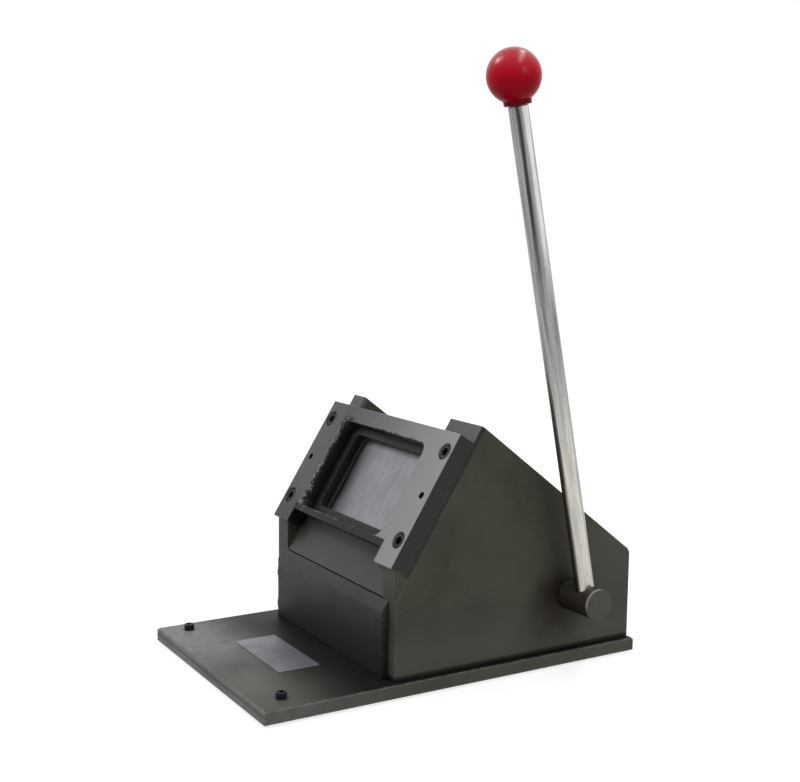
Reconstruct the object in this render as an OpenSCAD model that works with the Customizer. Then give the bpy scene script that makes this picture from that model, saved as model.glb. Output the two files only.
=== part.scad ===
// Hand press that cuts card blanks out of a plastic sheet.
// X runs to the operator's right, Y away from the operator and Z up.
// The origin is the middle of the underside, on the table.

/* [Base] */
// Width of the base plate
base_w = 171; // [168:0.5:220]
// Length of the base plate, front to back
base_l = 269; // [262:0.5:320]
// Thickness of the base plate
base_t = 8.5; // [6:0.5:14]
// Bevel along the base plate's top edges
base_bevel = 1.2; // [0.4:0.1:2.5]
// Thickness of the rubber mat under the base plate
mat_t = 1.5; // [1:0.25:4]
// How far the mat stays inside the base plate's edges
mat_inset = 4; // [2:0.5:12]
// Bare strip of base plate behind the housing
rear_margin = 1.2; // [0.5:0.1:8]

/* [Bench screws] */
// Thread diameter of the screws in the base plate's front corners
bench_d = 4; // [3:0.5:8]
// From the base plate's side edge to a bench screw
bench_in_x = 14.3; // [9:0.1:30]
// From the base plate's front edge to a bench screw
bench_in_y = 17.3; // [9:0.1:40]

/* [Label plate] */
// Width of the bare label plate
label_w = 66; // [40:1:90]
// Depth of the bare label plate, front to back
label_l = 28.3; // [15:0.1:32]
// Thickness of the label plate
label_t = 0.5; // [0.3:0.1:1]
// From the front panel to the label plate
label_in_y = 20.9; // [6:0.1:40]

/* [Housing] */
// Width across the two side plates
body_w = 160.6; // [159:0.2:164]
// Length of the side plates, front to back
body_l = 180.3; // [176:0.1:188]
// Thickness of a side plate
side_t = 15; // [14:0.5:17]
// Height of the side plates' rear edge above the base plate
rear_h = 58.7; // [56:0.1:80]
// Radius of the side plates' rear top corner
rear_round = 6; // [2:0.5:10]
// Thickness of the front panel
panel_t = 4.5; // [3:0.5:7]
// How far the front panel stays inside the side plates' outer faces
panel_in = 8.3; // [5:0.1:10]
// Thickness of the bent rear cover
cover_t = 2; // [1:0.25:3]
// How far the rear cover lies below the side plates' edges
cover_inset = 1; // [0.5:0.25:4]
// Width of the square bars that tie the side plates together
tie_w = 12; // [9:0.5:12]

/* [Die plate] */
// Slope of the die plate from level, in degrees
incline = 58.1; // [56:0.1:61]
// How far the die plate stands out over each side plate
die_over = 0.2; // [0:0.1:2.5]
// Length of the die plate down the slope
die_l = 90.6; // [88:0.2:96]
// Thickness of the die plate
die_t = 11.5; // [10:0.5:14]
// Height of the die plate's top edge above the base plate
die_top_h = 146.6; // [143:0.2:150]
// How far the die plate's lower edge overhangs the side plates
die_overhang = 3.6; // [1:0.1:6]
// Width of the window in the die plate
window_w = 103.4; // [100:0.2:110]
// Length of the window down the slope
window_l = 64.8; // [62:0.2:68]
// Corner radius of the window
window_r = 7; // [4:0.5:9]
// From the die plate's top edge to the middle of the window
window_s = 43.8; // [42:0.1:45]
// Width of the mouth cut into the die plate's lower edge
mouth_w = 118; // [112:1:126]
// Height of the bar left between the window and the mouth
lower_bar = 4.6; // [3:0.1:8]

/* [Die ring and punch] */
// Width of the card that is cut
card_w = 85.6; // [80:0.1:88]
// Length of the card that is cut, down the slope
card_l = 54; // [50:0.1:56]
// Corner radius of the card
card_r = 3.2; // [2:0.1:5]
// Thickness of the hardened die ring
ring_t = 4; // [3:0.25:6]
// How far the die ring reaches behind the window's rim
ring_lip = 4.5; // [3:0.25:5]
// Cutting clearance between punch and die ring, on each side
cut_gap = 0.06; // [0.04:0.01:0.15]
// Length of the punch block
punch_h = 29; // [26:0.5:32]
// How far the resting punch lies below the sheet's track
punch_rest = 0.5; // [0.2:0.1:1.5]

/* [Sheet track] */
// Height of the track that the sheet slides through
track_h = 3; // [2:0.25:5]
// Inner edge of the right guide bar, from the middle
fence_x = 45; // [44.2:0.1:56]
// Height of the guide bars' lugs above the die plate
lug_h = 11.4; // [6:0.2:16]
// Thickness of the plate that guides the punch
guide_t = 12; // [10:0.5:15]
// How far the guide plate reaches into each side plate
guide_seat = 12; // [10:0.25:12.5]

/* [Die fasteners] */
// Thread diameter of the die plate's cap screws
die_screw_d = 6; // [5:0.5:8]
// Length of the die plate's cap screws under the head
die_screw_l = 34; // [32:1:42]
// Die screws and dowels, from the side plates' outer faces
die_screw_in = 7.3; // [6.3:0.1:8.3]
// Upper die screws, from the die plate's top edge
upper_screw_s = 13.1; // [10:0.1:16]
// Lower die screws, from the die plate's top edge
lower_screw_s = 73.2; // [66:0.1:78]
// Dowels, from the die plate's top edge
dowel_s = 43.1; // [36:0.1:52]
// Diameter of the dowels
dowel_d = 4; // [3:0.5:5]
// Length of the dowels
dowel_l = 28; // [26:1:36]
// How far the dowels lie below the die plate's face
dowel_sunk = 3; // [1:0.5:5]

/* [Lever] */
// Diameter of the cross shaft
shaft_d = 20; // [18:0.5:22]
// From the housing's rear edge to the shaft's axis
shaft_in_y = 48.6; // [46:0.1:54]
// Height of the shaft's axis above the base plate
shaft_h = 35.6; // [34:0.1:42]
// How far the shaft stands out of the right side plate
shaft_out = 28; // [24:0.5:40]
// How far the shaft stands out of the left side plate
shaft_left = 2; // [1:0.5:6]
// Diameter of the lever rod
rod_d = 12; // [10:0.5:14]
// From the right side plate to the lever rod's axis
rod_out = 16; // [14:0.5:17]
// How far the resting lever leans forward from upright, in degrees
rod_lean = 11.6; // [0:0.2:20]
// From the shaft's axis to the middle of the ball
rod_reach = 327.6; // [200:1:420]
// Diameter of the ball knob
ball_d = 32.4; // [26:0.2:44]
// Diameter of the short boss under the ball
boss_d = 16.4; // [15.4:0.2:20]
// How far the boss stands out below the ball
boss_out = 0.7; // [0.4:0.1:4]
// Diameter of the threaded insert in the ball
insert_d = 12; // [11.5:0.5:13.5]

/* [Cam drive] */
// Turn of the lever from rest to full cut, in degrees
throw_deg = 75; // [60:1:80]
// Travel of the punch over that turn
stroke = 5.5; // [4.5:0.1:6.5]
// Cam radius under the roller at rest
cam_r = 18; // [17:0.25:20]
// Width of the cam
cam_w = 16; // [12:0.5:20]
// Running gap between cam and roller
cam_gap = 0.2; // [0.15:0.05:0.5]
// Diameter of the cam's hub
hub_d = 32; // [29:0.5:34]
// Length of the cam's hub beside the cam
hub_l = 12; // [9:0.5:16]
// Diameter of the roller
roller_d = 22; // [18:0.5:26]
// Diameter of the roller's pin
roller_pin_d = 8; // [6:0.5:10]
// Width of the key in the shaft
key_w = 6; // [5:0.5:7]
// Thickness of the shaft's collars
collar_t = 10; // [8:0.5:14]

/* [Ram] */
// Thickness of the ram plate
ram_t = 12; // [10:0.5:16]
// Length of the ram plate down the slope
ram_l = 63; // [58:0.5:64]
// Thickness of the fork's ears
ear_t = 8; // [6:0.5:10]
// Width of the fork's ears
ear_w = 20; // [16:0.5:24]
// Thickness of the fork's foot
foot_t = 8; // [6:0.5:10]
// Diameter of the guide posts
post_d = 10; // [8:0.5:11]
// Outer diameter of the ram's bushes
post_bush_d = 16; // [14.5:0.5:18]
// How far the ram's bushes stand out behind the ram plate
post_bush_out = 4; // [2:0.5:8]
// Wire diameter of the return springs
wire_d = 1.8; // [1.2:0.1:2]
// Turns of a return spring
spring_turns = 5; // [4:1:6]

/* [Fits] */
// Radial running clearance of shafts, posts and the roller
run_gap = 0.05; // [0.03:0.01:0.1]
// Radial clearance of fixed screws, pins and bushes
seat_gap = 0.03; // [0.02:0.01:0.05]
// Radial room of a screw in its clearance hole
drill_gap = 0.3; // [0.1:0.05:0.4]
// Gap between plates that are set in beside each other
plate_gap = 0.2; // [0.1:0.05:0.4]

/* [Hidden] */
$fn = 48;
cut = 1; // how far a cutting shape runs past the faces it opens
end_gap = 0.2; // room left at the end of a pin, key or blind hole
head_ratio = 1.65; // head of a cap screw over its thread
sink_room = 0.5; // room round a screw head in its counterbore
tap_over = 1; // tapped hole beyond its screw

// levels and lines of the housing
deck_z = mat_t + base_t;
rear_y = base_l / 2 - rear_margin;
front_y = rear_y - body_l;
panel_y = front_y - panel_t;
inner_x = body_w / 2 - side_t;
panel_w = body_w - 2 * panel_in;

// the die frame: x across, y up the slope, z out of the die plate's face
die_top_z = deck_z + die_top_h;
die_top_y = front_y - die_overhang + die_l * cos(incline);
die_w = body_w + 2 * die_over;
die_screw_x = body_w / 2 - die_screw_in;
guide_depth = die_t + track_h;
guide_back = guide_depth + guide_t;
mouth_s = window_s + window_l / 2 + lower_bar;
ring_w = window_w + 2 * ring_lip;
ring_l = window_l + 2 * ring_lip;
die_head_h = die_screw_d;
die_sink_d = die_screw_d * head_ratio + 2 * sink_room;
die_head_sunk = 0.5;
die_seat = die_head_h + die_head_sunk;
guide_top_s = 1; // the guide plate's top edge, down from the die plate's
guide_w = 2 * (inner_x + guide_seat);
wing_over = 1.5; // how far the guide plate's wings run past the die plate
wing_end_s = die_l + wing_over;
guide_end_s = (die_top_y + guide_depth * sin(incline) - front_y - plate_gap) / cos(incline);

// corners of the side plates
shelf_depth = (front_y - die_top_y + die_l * cos(incline)) / sin(incline);
apex = slope_point(guide_depth, -lug_h);
shelf_front = slope_point(shelf_depth, die_l);
shelf_back = slope_point(guide_depth, die_l);
rear_z = deck_z + rear_h;
roof_a = atan2(rear_z - apex[1], rear_y - apex[0]);

// rear cover and tie bars
ledge_gap = 0.6; // from the guide plate to the cover
ledge_drop = 0.8; // from the guide plate's top edge down to the cover's ledge
ledge_y = slope_point(guide_back, guide_top_s)[0] + ledge_gap;
ledge_z = slope_point(guide_back, guide_top_s)[1] - ledge_drop;
upper_tie_in = 1.4; // from the cover's front edge to the upper tie bar
upper_tie_y = ledge_y + upper_tie_in;
rear_tie_y = rear_y - cover_inset - cover_t - tie_w;
rear_tie_up = 8; // from the base plate to the rear tie bar
rear_tie_z = deck_z + rear_tie_up;

// shaft, cam and roller
shaft_y = rear_y - shaft_in_y;
shaft_z = deck_z + shaft_h;
shaft_s = -((shaft_y - die_top_y) * cos(incline) + (shaft_z - die_top_z) * sin(incline));
shaft_depth = (shaft_y - die_top_y) * sin(incline) - (shaft_z - die_top_z) * cos(incline);
rise = stroke / throw_deg;
follow_r = cam_r + roller_d / 2 + cam_gap;
roller_depth = shaft_depth - follow_r;
bush_wall = 3;
bush_stop = 3; // side plate left behind a bush
bush_d = shaft_d + 2 * bush_wall;
bush_l = side_t - bush_stop;
flange_d = bush_d + 2 * bush_wall;
flange_t = 2.5;
collar_x = inner_x - flange_t - plate_gap - collar_t;
rod_x = body_w / 2 + rod_out;
rod_foot = 5; // how far the rod goes past the shaft's axis

// ram
punch_depth = guide_depth + punch_rest;
ram_depth = punch_depth + punch_h;
ram_back = ram_depth + ram_t;
ram_side_gap = 3;
ram_w = 2 * (inner_x - ram_side_gap);
post_x = (card_w / 2 + inner_x) / 2; // halfway between the punch and a side plate
stop_gap = 0.2;
stop_depth = ram_back + post_bush_out + stop_gap;
washer_t = 2;
nut_t = 5;
post_tip = 1.8; // post left beyond its nut
post_seat = 3; // guide plate left in front of a post
post_end = stop_depth + washer_t + nut_t + post_tip;
spring_room = 1.6; // between a post and its spring
spring_d = post_d + 2 * (wire_d + spring_room);
punch_screw_in = 9; // from the punch's edges
punch_screw_x = card_w / 2 - punch_screw_in;
punch_screw_v = card_l / 2 - punch_screw_in;

// fork
foot_back = ram_back + foot_t;
foot_l = 40;
foot_edge = 5.5; // from a foot screw to the foot's side edge
foot_screw_gap = 6; // from an ear to a foot screw
foot_screw_in = 7; // from the foot's end to a foot screw
ear_gap = 0.5; // between the roller and an ear
ear_x = cam_w / 2 + ear_gap;
foot_screw_x = ear_x + ear_t + foot_screw_gap;
foot_screw_v = foot_l / 2 - foot_screw_in;
foot_w = 2 * (foot_screw_x + foot_edge);

// ---------- helpers ----------

// A point in the side view [y, z] at a depth behind the die face and a distance s down the slope
function slope_point(depth, s) = [
    die_top_y + depth * sin(incline) - s * cos(incline),
    die_top_z - depth * cos(incline) - s * sin(incline)
];

// Height of the sheet track's floor plane at a given y
function track_floor_z(y) = die_top_z + ((y - die_top_y) * sin(incline) - guide_depth) / cos(incline);

// Height of the roof line at a given y, lowered square to itself
function roof_z(y, lower) = apex[1] + (y - apex[0]) * tan(roof_a) - lower / cos(roof_a);

// The y at which the lowered roof line has a given height
function roof_y(z, lower) = apex[0] + (z + lower / cos(roof_a) - apex[1]) / tan(roof_a);

// Points on an arc about c, from angle a0 to a1
function arc(c, r, a0, a1, n) = [
    for (i = [0:n]) let (a = a0 + (a1 - a0) * i / n) c + r * [cos(a), sin(a)]
];

// Outline of a rectangle with rounded corners, centred
function round_rect(w, l, r) = concat(
    arc([w / 2 - r, l / 2 - r], r, 0, 90, 6),
    arc([r - w / 2, l / 2 - r], r, 90, 180, 6),
    arc([r - w / 2, r - l / 2], r, 180, 270, 6),
    arc([w / 2 - r, r - l / 2], r, 270, 360, 6)
);

// Children drawn in the die frame, moved to a distance s down the slope and a depth below the face
module on_slope(x = 0, s = 0, depth = 0)
    translate([0, die_top_y, die_top_z]) rotate([incline, 0, 0]) translate([x, -s, -depth]) children();

// Children drawn about the shaft's axis, with Z towards the die plate
module on_shaft(x = 0)
    translate([x, shaft_y, shaft_z]) rotate([incline, 0, 0]) children();

// A side view outline of [y, z] points, extruded along X
module side_extrude(x0, x1) translate([x0, 0, 0]) rotate([90, 0, 90]) linear_extrude(x1 - x0) children();

module both_sides() for (m = [0, 1]) mirror([m, 0, 0]) children();

// A bar along X, centred on the axis
module x_rod(d, x0, x1) translate([x0, 0, 0]) rotate([0, 90, 0]) cylinder(d = d, h = x1 - x0);

// Screws point down: the head's seat is at z = 0
module cap_screw(d, l, head_h) {
    head_d = d * head_ratio;
    difference() {
        cylinder(d = head_d, h = head_h);
        translate([0, 0, head_h * 0.4]) cylinder(d = d * 0.95, h = head_h, $fn = 6);
    }
    translate([0, 0, -l]) cylinder(d = d, h = l);
}

module button_screw(d, l) {
    head_h = d * 0.55;
    difference() {
        union() {
            cylinder(d = d * 1.8, h = head_h * 0.4);
            translate([0, 0, head_h * 0.4]) cylinder(d1 = d * 1.8, d2 = d * 1.1, h = head_h * 0.6);
        }
        translate([0, 0, head_h * 0.3]) cylinder(d = d * 0.7, h = head_h, $fn = 6);
    }
    translate([0, 0, -l]) cylinder(d = d, h = l);
}

// A countersunk screw: its flat top is at z = 0
module flat_screw(d, l) {
    sunk = d * 0.5;
    difference() {
        union() {
            translate([0, 0, -sunk]) cylinder(d1 = d, d2 = d * 2, h = sunk);
            translate([0, 0, -l]) cylinder(d = d, h = l - sunk + 0.01);
        }
        translate([0, 0, -sunk * 0.6]) cylinder(d = d * 0.6, h = sunk, $fn = 6);
    }
}

module flat_screw_hole(d, l) {
    sunk = d * 0.5;
    g = seat_gap;
    translate([0, 0, -l]) cylinder(d = d + 2 * g, h = l + cut);
    translate([0, 0, -sunk - g]) cylinder(d1 = d, d2 = d * 2 + 2 * g, h = sunk + g);
    cylinder(d = d * 2 + 2 * g, h = cut);
}

// A headless screw along Z with its hex socket at the top
module grub_screw(d, l) difference() {
    cylinder(d = d, h = l);
    translate([0, 0, l * 0.55]) cylinder(d = d * 0.5, h = l, $fn = 6);
}

// ---------- base ----------

module base_mat() color("#26262a")
    translate([mat_inset - base_w / 2, mat_inset - base_l / 2, 0])
        cube([base_w - 2 * mat_inset, base_l - 2 * mat_inset, mat_t]);

bench_x = base_w / 2 - bench_in_x;
bench_y = bench_in_y - base_l / 2;
bench_short = 0.5; // from a bench screw's end to the underside
under_screw_d = 6;
under_grip = 14; // length of the screws in the side plates
under_screw_in = 20; // from the side plates' ends to the end screws
under_screw_l = base_t + under_grip;
under_screw_x = body_w / 2 - side_t / 2;
under_screw_ys = [front_y + under_screw_in, (front_y + rear_y) / 2, rear_y - under_screw_in];

// A long triangular prism that bevels an edge running along X
module bevel_x(l) rotate([90, 0, 90]) linear_extrude(l, center = true)
    polygon([[-base_bevel - cut, cut], [cut, -base_bevel - cut], [cut, cut]]);

module base_plate() color("#4b4a45") difference() {
    translate([-base_w / 2, -base_l / 2, mat_t]) cube([base_w, base_l, base_t]);
    for (a = [0, 180]) rotate(a) translate([0, base_l / 2, deck_z]) bevel_x(base_w + 2 * cut);
    for (a = [90, 270]) rotate(a) translate([0, base_w / 2, deck_z]) bevel_x(base_l + 2 * cut);
    both_sides() {
        translate([bench_x, bench_y, mat_t - cut])
            cylinder(d = bench_d + 2 * seat_gap, h = base_t + 2 * cut);
        for (y = under_screw_ys)
            translate([under_screw_x, y, mat_t]) rotate([180, 0, 0])
                flat_screw_hole(under_screw_d, under_screw_l);
    }
}

module bench_screws() color("#1b1b1d") both_sides()
    translate([bench_x, bench_y, deck_z]) cap_screw(bench_d, base_t - bench_short, bench_d);

module label_plate() color("#8f9196")
    translate([-label_w / 2, panel_y - label_in_y - label_l, deck_z]) cube([label_w, label_l, label_t]);

module under_base_screws() color("#3a3a3c") both_sides() for (y = under_screw_ys)
    translate([under_screw_x, y, mat_t]) rotate([180, 0, 0]) flat_screw(under_screw_d, under_screw_l);

// ---------- housing ----------

side_outline = concat(
    [[front_y, deck_z], shelf_front, shelf_back],
    [apex],
    arc([rear_y - rear_round, roof_z(rear_y - rear_round, rear_round)], rear_round, 90 + roof_a, 0, 6),
    [[rear_y, deck_z]]
);

panel_screw_d = 4;
panel_screw_l = 14;
panel_screw_x = (inner_x + panel_w / 2) / 2;
panel_screw_up = 9; // from the base plate
panel_screw_down = 10; // from the panel's top edge
panel_screw_zs = [deck_z + panel_screw_up, track_floor_z(panel_y) - panel_screw_down];

// The right side plate; the left one is its mirror image
module side_plate() difference() {
    side_extrude(inner_x, body_w / 2) polygon(side_outline);
    // seat of the guide plate
    on_slope(inner_x - cut, wing_end_s + plate_gap, guide_back)
        cube([guide_seat + plate_gap + cut, wing_end_s - guide_top_s + 2 * plate_gap, guide_t + cut]);
    // tapped holes and dowel holes behind the die plate
    for (s = [upper_screw_s, lower_screw_s])
        on_slope(die_screw_x, s, die_seat + die_screw_l + tap_over)
            cylinder(d = die_screw_d + 2 * seat_gap, h = die_screw_l);
    on_slope(die_screw_x, dowel_s, dowel_sunk + dowel_l + end_gap)
        cylinder(d = dowel_d + 2 * seat_gap, h = dowel_l);
    // shaft bore and bush seat
    translate([0, shaft_y, shaft_z]) {
        x_rod(shaft_d + 4 * run_gap, inner_x, body_w / 2 + cut);
        x_rod(bush_d + 2 * seat_gap, inner_x - cut, inner_x + bush_l);
    }
    for (z = panel_screw_zs)
        translate([panel_screw_x, panel_y, z]) rotate([90, 0, 0])
            translate([0, 0, -panel_screw_l - tap_over])
                cylinder(d = panel_screw_d + 2 * seat_gap, h = panel_screw_l);
    for (y = under_screw_ys)
        translate([under_screw_x, y, mat_t])
            cylinder(d = under_screw_d + 2 * seat_gap, h = under_screw_l + tap_over);
}

module right_side_plate() color("#413f39") side_plate();
module left_side_plate() color("#413f39") mirror([1, 0, 0]) side_plate();

module front_panel() color("#45433e") difference() {
    side_extrude(-panel_w / 2, panel_w / 2) polygon([
        [panel_y, deck_z], [front_y, deck_z],
        [front_y, track_floor_z(front_y)], [panel_y, track_floor_z(panel_y)]
    ]);
    both_sides() for (z = panel_screw_zs)
        translate([panel_screw_x, panel_y, z]) rotate([90, 0, 0])
            flat_screw_hole(panel_screw_d, panel_screw_l);
}

module front_panel_screws() color("#3d3b37") both_sides() for (z = panel_screw_zs)
    translate([panel_screw_x, panel_y, z]) rotate([90, 0, 0]) flat_screw(panel_screw_d, panel_screw_l);

cover_screw_d = 4;
cover_screw_l = 9;
cover_screw_xs = [-0.7 * inner_x, 0, 0.7 * inner_x];
ledge_screw_y = upper_tie_y + tie_w / 2;
rear_screw_z = rear_tie_z + tie_w / 2;

module tie_bar() translate([-inner_x, 0, 0]) cube([2 * inner_x, tie_w, tie_w]);

module upper_tie_bar() color("#413f39") difference() {
    translate([0, upper_tie_y, ledge_z - cover_t - tie_w]) tie_bar();
    for (x = cover_screw_xs) translate([x, ledge_screw_y, ledge_z - cover_screw_l])
        cylinder(d = cover_screw_d + 2 * seat_gap, h = cover_screw_l);
}

module rear_tie_bar() color("#413f39") difference() {
    translate([0, rear_tie_y, rear_tie_z]) tie_bar();
    for (x = cover_screw_xs) translate([x, rear_y - cover_inset, rear_screw_z]) rotate([90, 0, 0])
        cylinder(d = cover_screw_d + 2 * seat_gap, h = cover_screw_l + tap_over);
}

// Section of the cover, as a filled outline lowered by a given amount; the open side is closed far below
module cover_section(lower) polygon([
    [ledge_y, deck_z - lower], [ledge_y, ledge_z + cover_inset - lower],
    [roof_y(ledge_z + cover_inset - lower, lower), ledge_z + cover_inset - lower],
    [rear_y - lower, roof_z(rear_y - lower, lower)], [rear_y - lower, deck_z - lower]
]);

module rear_cover() color("#45433e") difference() {
    side_extrude(plate_gap - inner_x, inner_x - plate_gap) difference() {
        intersection() {
            cover_section(cover_inset);
            translate([ledge_y, deck_z]) square([base_l, die_top_z]);
        }
        cover_section(cover_inset + cover_t);
        translate([ledge_y - cut, 0]) square([2 * cut, ledge_z - cover_t]);
    }
    for (x = cover_screw_xs) {
        translate([x, ledge_screw_y, ledge_z - cover_t - cut])
            cylinder(d = cover_screw_d + 2 * seat_gap, h = cover_t + 2 * cut);
        translate([x, rear_y - cover_inset + cut, rear_screw_z]) rotate([90, 0, 0])
            cylinder(d = cover_screw_d + 2 * seat_gap, h = cover_t + 2 * cut);
    }
}

module cover_screws() color("#1b1b1d") for (x = cover_screw_xs) {
    translate([x, ledge_screw_y, ledge_z]) button_screw(cover_screw_d, cover_screw_l);
    translate([x, rear_y - cover_inset, rear_screw_z]) rotate([-90, 0, 0])
        button_screw(cover_screw_d, cover_screw_l);
}

// ---------- die set ----------

// Drills for the die screws and dowels through a plate that ends at a given depth
module die_drills(end_depth) both_sides() {
    for (s = [upper_screw_s, lower_screw_s])
        on_slope(die_screw_x, s, end_depth + cut)
            cylinder(d = die_screw_d + 2 * drill_gap, h = end_depth + 2 * cut);
    on_slope(die_screw_x, dowel_s, end_depth + cut)
        cylinder(d = dowel_d + 2 * seat_gap, h = end_depth + 2 * cut);
}

module die_plate() color("#6d6c67") difference() {
    on_slope(-die_w / 2, die_l, die_t) cube([die_w, die_l, die_t]);
    on_slope(0, window_s, die_t + cut) linear_extrude(die_t + 2 * cut)
        polygon(round_rect(window_w, window_l, window_r));
    on_slope(0, window_s, die_t + cut) linear_extrude(ring_t + seat_gap + cut)
        polygon(round_rect(ring_w + 2 * seat_gap, ring_l + 2 * seat_gap, window_r));
    on_slope(-mouth_w / 2, die_l + cut, die_t + cut)
        cube([mouth_w, die_l - mouth_s + cut, die_t + 2 * cut]);
    die_drills(die_t);
    both_sides() for (s = [upper_screw_s, lower_screw_s])
        on_slope(die_screw_x, s, die_seat) cylinder(d = die_sink_d, h = die_t);
}

module die_ring() color("#2f2f31") difference() {
    on_slope(0, window_s, die_t) linear_extrude(ring_t) polygon(round_rect(ring_w, ring_l, window_r));
    on_slope(0, window_s, die_t + cut) linear_extrude(ring_t + 2 * cut)
        polygon(round_rect(card_w + 2 * cut_gap, card_l + 2 * cut_gap, card_r + cut_gap));
}

module guide_bar(x0, x1) difference() {
    on_slope(x0, die_l, guide_depth) cube([x1 - x0, die_l + lug_h, track_h]);
    die_drills(guide_depth);
}

module left_guide_bar() color("#5b5a55") guide_bar(-body_w / 2, -inner_x);
module right_guide_bar() color("#5b5a55") guide_bar(fence_x, body_w / 2);

module post_holes() both_sides() on_slope(post_x, window_s, guide_back + cut)
    cylinder(d = post_d + 2 * seat_gap, h = guide_t - post_seat + cut);

module punch_guide_plate() color("#57564f") difference() {
    union() {
        on_slope(plate_gap - inner_x, guide_end_s, guide_back)
            cube([2 * (inner_x - plate_gap), guide_end_s - guide_top_s, guide_t]);
        on_slope(-guide_w / 2, wing_end_s, guide_back) cube([guide_w, wing_end_s - guide_top_s, guide_t]);
    }
    on_slope(0, window_s, guide_back + cut) linear_extrude(guide_t + 2 * cut)
        polygon(round_rect(card_w + 2 * cut_gap, card_l + 2 * cut_gap, card_r + cut_gap));
    die_drills(guide_back);
    post_holes();
}

module die_cap_screws() color("#1b1b1d") both_sides() for (s = [upper_screw_s, lower_screw_s])
    on_slope(die_screw_x, s, die_seat) cap_screw(die_screw_d, die_screw_l, die_head_h);

module die_dowels() color("#6f7073") both_sides()
    on_slope(die_screw_x, dowel_s, dowel_sunk + dowel_l) cylinder(d = dowel_d, h = dowel_l);

// ---------- guide posts and springs ----------

module guide_posts() color("#b9bcc0") both_sides()
    on_slope(post_x, window_s, post_end)
        cylinder(d = post_d, h = post_end - guide_depth - post_seat - end_gap);

module post_washers() color("#b9bcc0") both_sides()
    on_slope(post_x, window_s, stop_depth + washer_t) difference() {
        cylinder(d = post_d * 1.8, h = washer_t);
        translate([0, 0, -cut]) cylinder(d = post_d + 2 * seat_gap, h = washer_t + 2 * cut);
    }

module post_nuts() color("#8d9094") both_sides()
    on_slope(post_x, window_s, stop_depth + washer_t + nut_t) difference() {
        cylinder(d = post_d * 1.7, h = nut_t, $fn = 6);
        translate([0, 0, -cut]) cylinder(d = post_d + 2 * seat_gap, h = nut_t + 2 * cut);
    }

// A round wire wound upward from z = 0: rings of points joined in one closed tube
ring_steps = 12;
ring_sides = 6;
function spring_ring(i, r, pitch) = let (a = 360 * i / ring_steps, z = pitch * i / ring_steps)
    [for (j = [0:ring_sides - 1]) let (b = 360 * j / ring_sides, q = r + wire_d / 2 * cos(b))
        [q * cos(a), q * sin(a), z + wire_d / 2 * sin(b)]];
function tube_faces(rings, sides) = concat(
    [[for (j = [0:sides - 1]) j]],
    [for (i = [0:rings - 2]) for (j = [0:sides - 1]) let (k = (j + 1) % sides)
        [i * sides + j, (i + 1) * sides + j, i * sides + k]],
    [for (i = [0:rings - 2]) for (j = [0:sides - 1]) let (k = (j + 1) % sides)
        [i * sides + k, (i + 1) * sides + j, (i + 1) * sides + k]],
    [[for (j = [sides - 1:-1:0]) (rings - 1) * sides + j]]
);

module return_springs() color("#9a9da1") {
    rest_l = ram_depth - guide_back - wire_d - 2 * end_gap;
    pitch = rest_l / spring_turns;
    rings = spring_turns * ring_steps + 1;
    points = [for (i = [0:rings - 1]) each spring_ring(i, (spring_d - wire_d) / 2, pitch)];
    both_sides() on_slope(post_x, window_s, ram_depth - wire_d / 2 - end_gap)
        polyhedron(points, tube_faces(rings, ring_sides));
}

// ---------- ram ----------

punch_screw_d = 6;
punch_screw_l = 18;

module punch() color("#a6a9ad") difference() {
    on_slope(0, window_s, ram_depth) linear_extrude(punch_h) polygon(round_rect(card_w, card_l, card_r));
    for (x = [-1, 1]) for (v = [-1, 1])
        on_slope(x * punch_screw_x, window_s + v * punch_screw_v, ram_depth + cut)
            cylinder(d = punch_screw_d + 2 * seat_gap, h = punch_screw_l - ram_t / 2 + tap_over + cut);
}

module ram_plate() color("#77797c") difference() {
    on_slope(-ram_w / 2, window_s + ram_l / 2, ram_back) cube([ram_w, ram_l, ram_t]);
    both_sides() on_slope(post_x, window_s, ram_back + cut)
        cylinder(d = post_bush_d + 2 * seat_gap, h = ram_t + 2 * cut);
    for (x = [-1, 1]) for (v = [-1, 1]) {
        on_slope(x * punch_screw_x, window_s + v * punch_screw_v, ram_back + cut)
            cylinder(d = punch_screw_d + 2 * drill_gap, h = ram_t + 2 * cut);
        on_slope(x * punch_screw_x, window_s + v * punch_screw_v, ram_back + cut)
            cylinder(d = punch_screw_d * head_ratio + 2 * sink_room, h = ram_t / 2 + cut);
        on_slope(x * foot_screw_x, shaft_s + v * foot_screw_v, ram_back + cut)
            cylinder(d = foot_screw_d + 2 * seat_gap, h = foot_screw_l - foot_t + tap_over + cut);
    }
}

module ram_bushes() color("#b08d4a") both_sides()
    on_slope(post_x, window_s, ram_back + post_bush_out) difference() {
        cylinder(d = post_bush_d, h = ram_t + post_bush_out);
        translate([0, 0, -cut]) cylinder(d = post_d + 2 * run_gap, h = ram_t + post_bush_out + 2 * cut);
    }

module punch_screws() color("#1b1b1d") for (x = [-1, 1]) for (v = [-1, 1])
    on_slope(x * punch_screw_x, window_s + v * punch_screw_v, ram_back - ram_t / 2) rotate([180, 0, 0])
        cap_screw(punch_screw_d, punch_screw_l, ram_t / 2 - end_gap);

foot_screw_d = 5;
foot_screw_l = 16;

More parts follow.
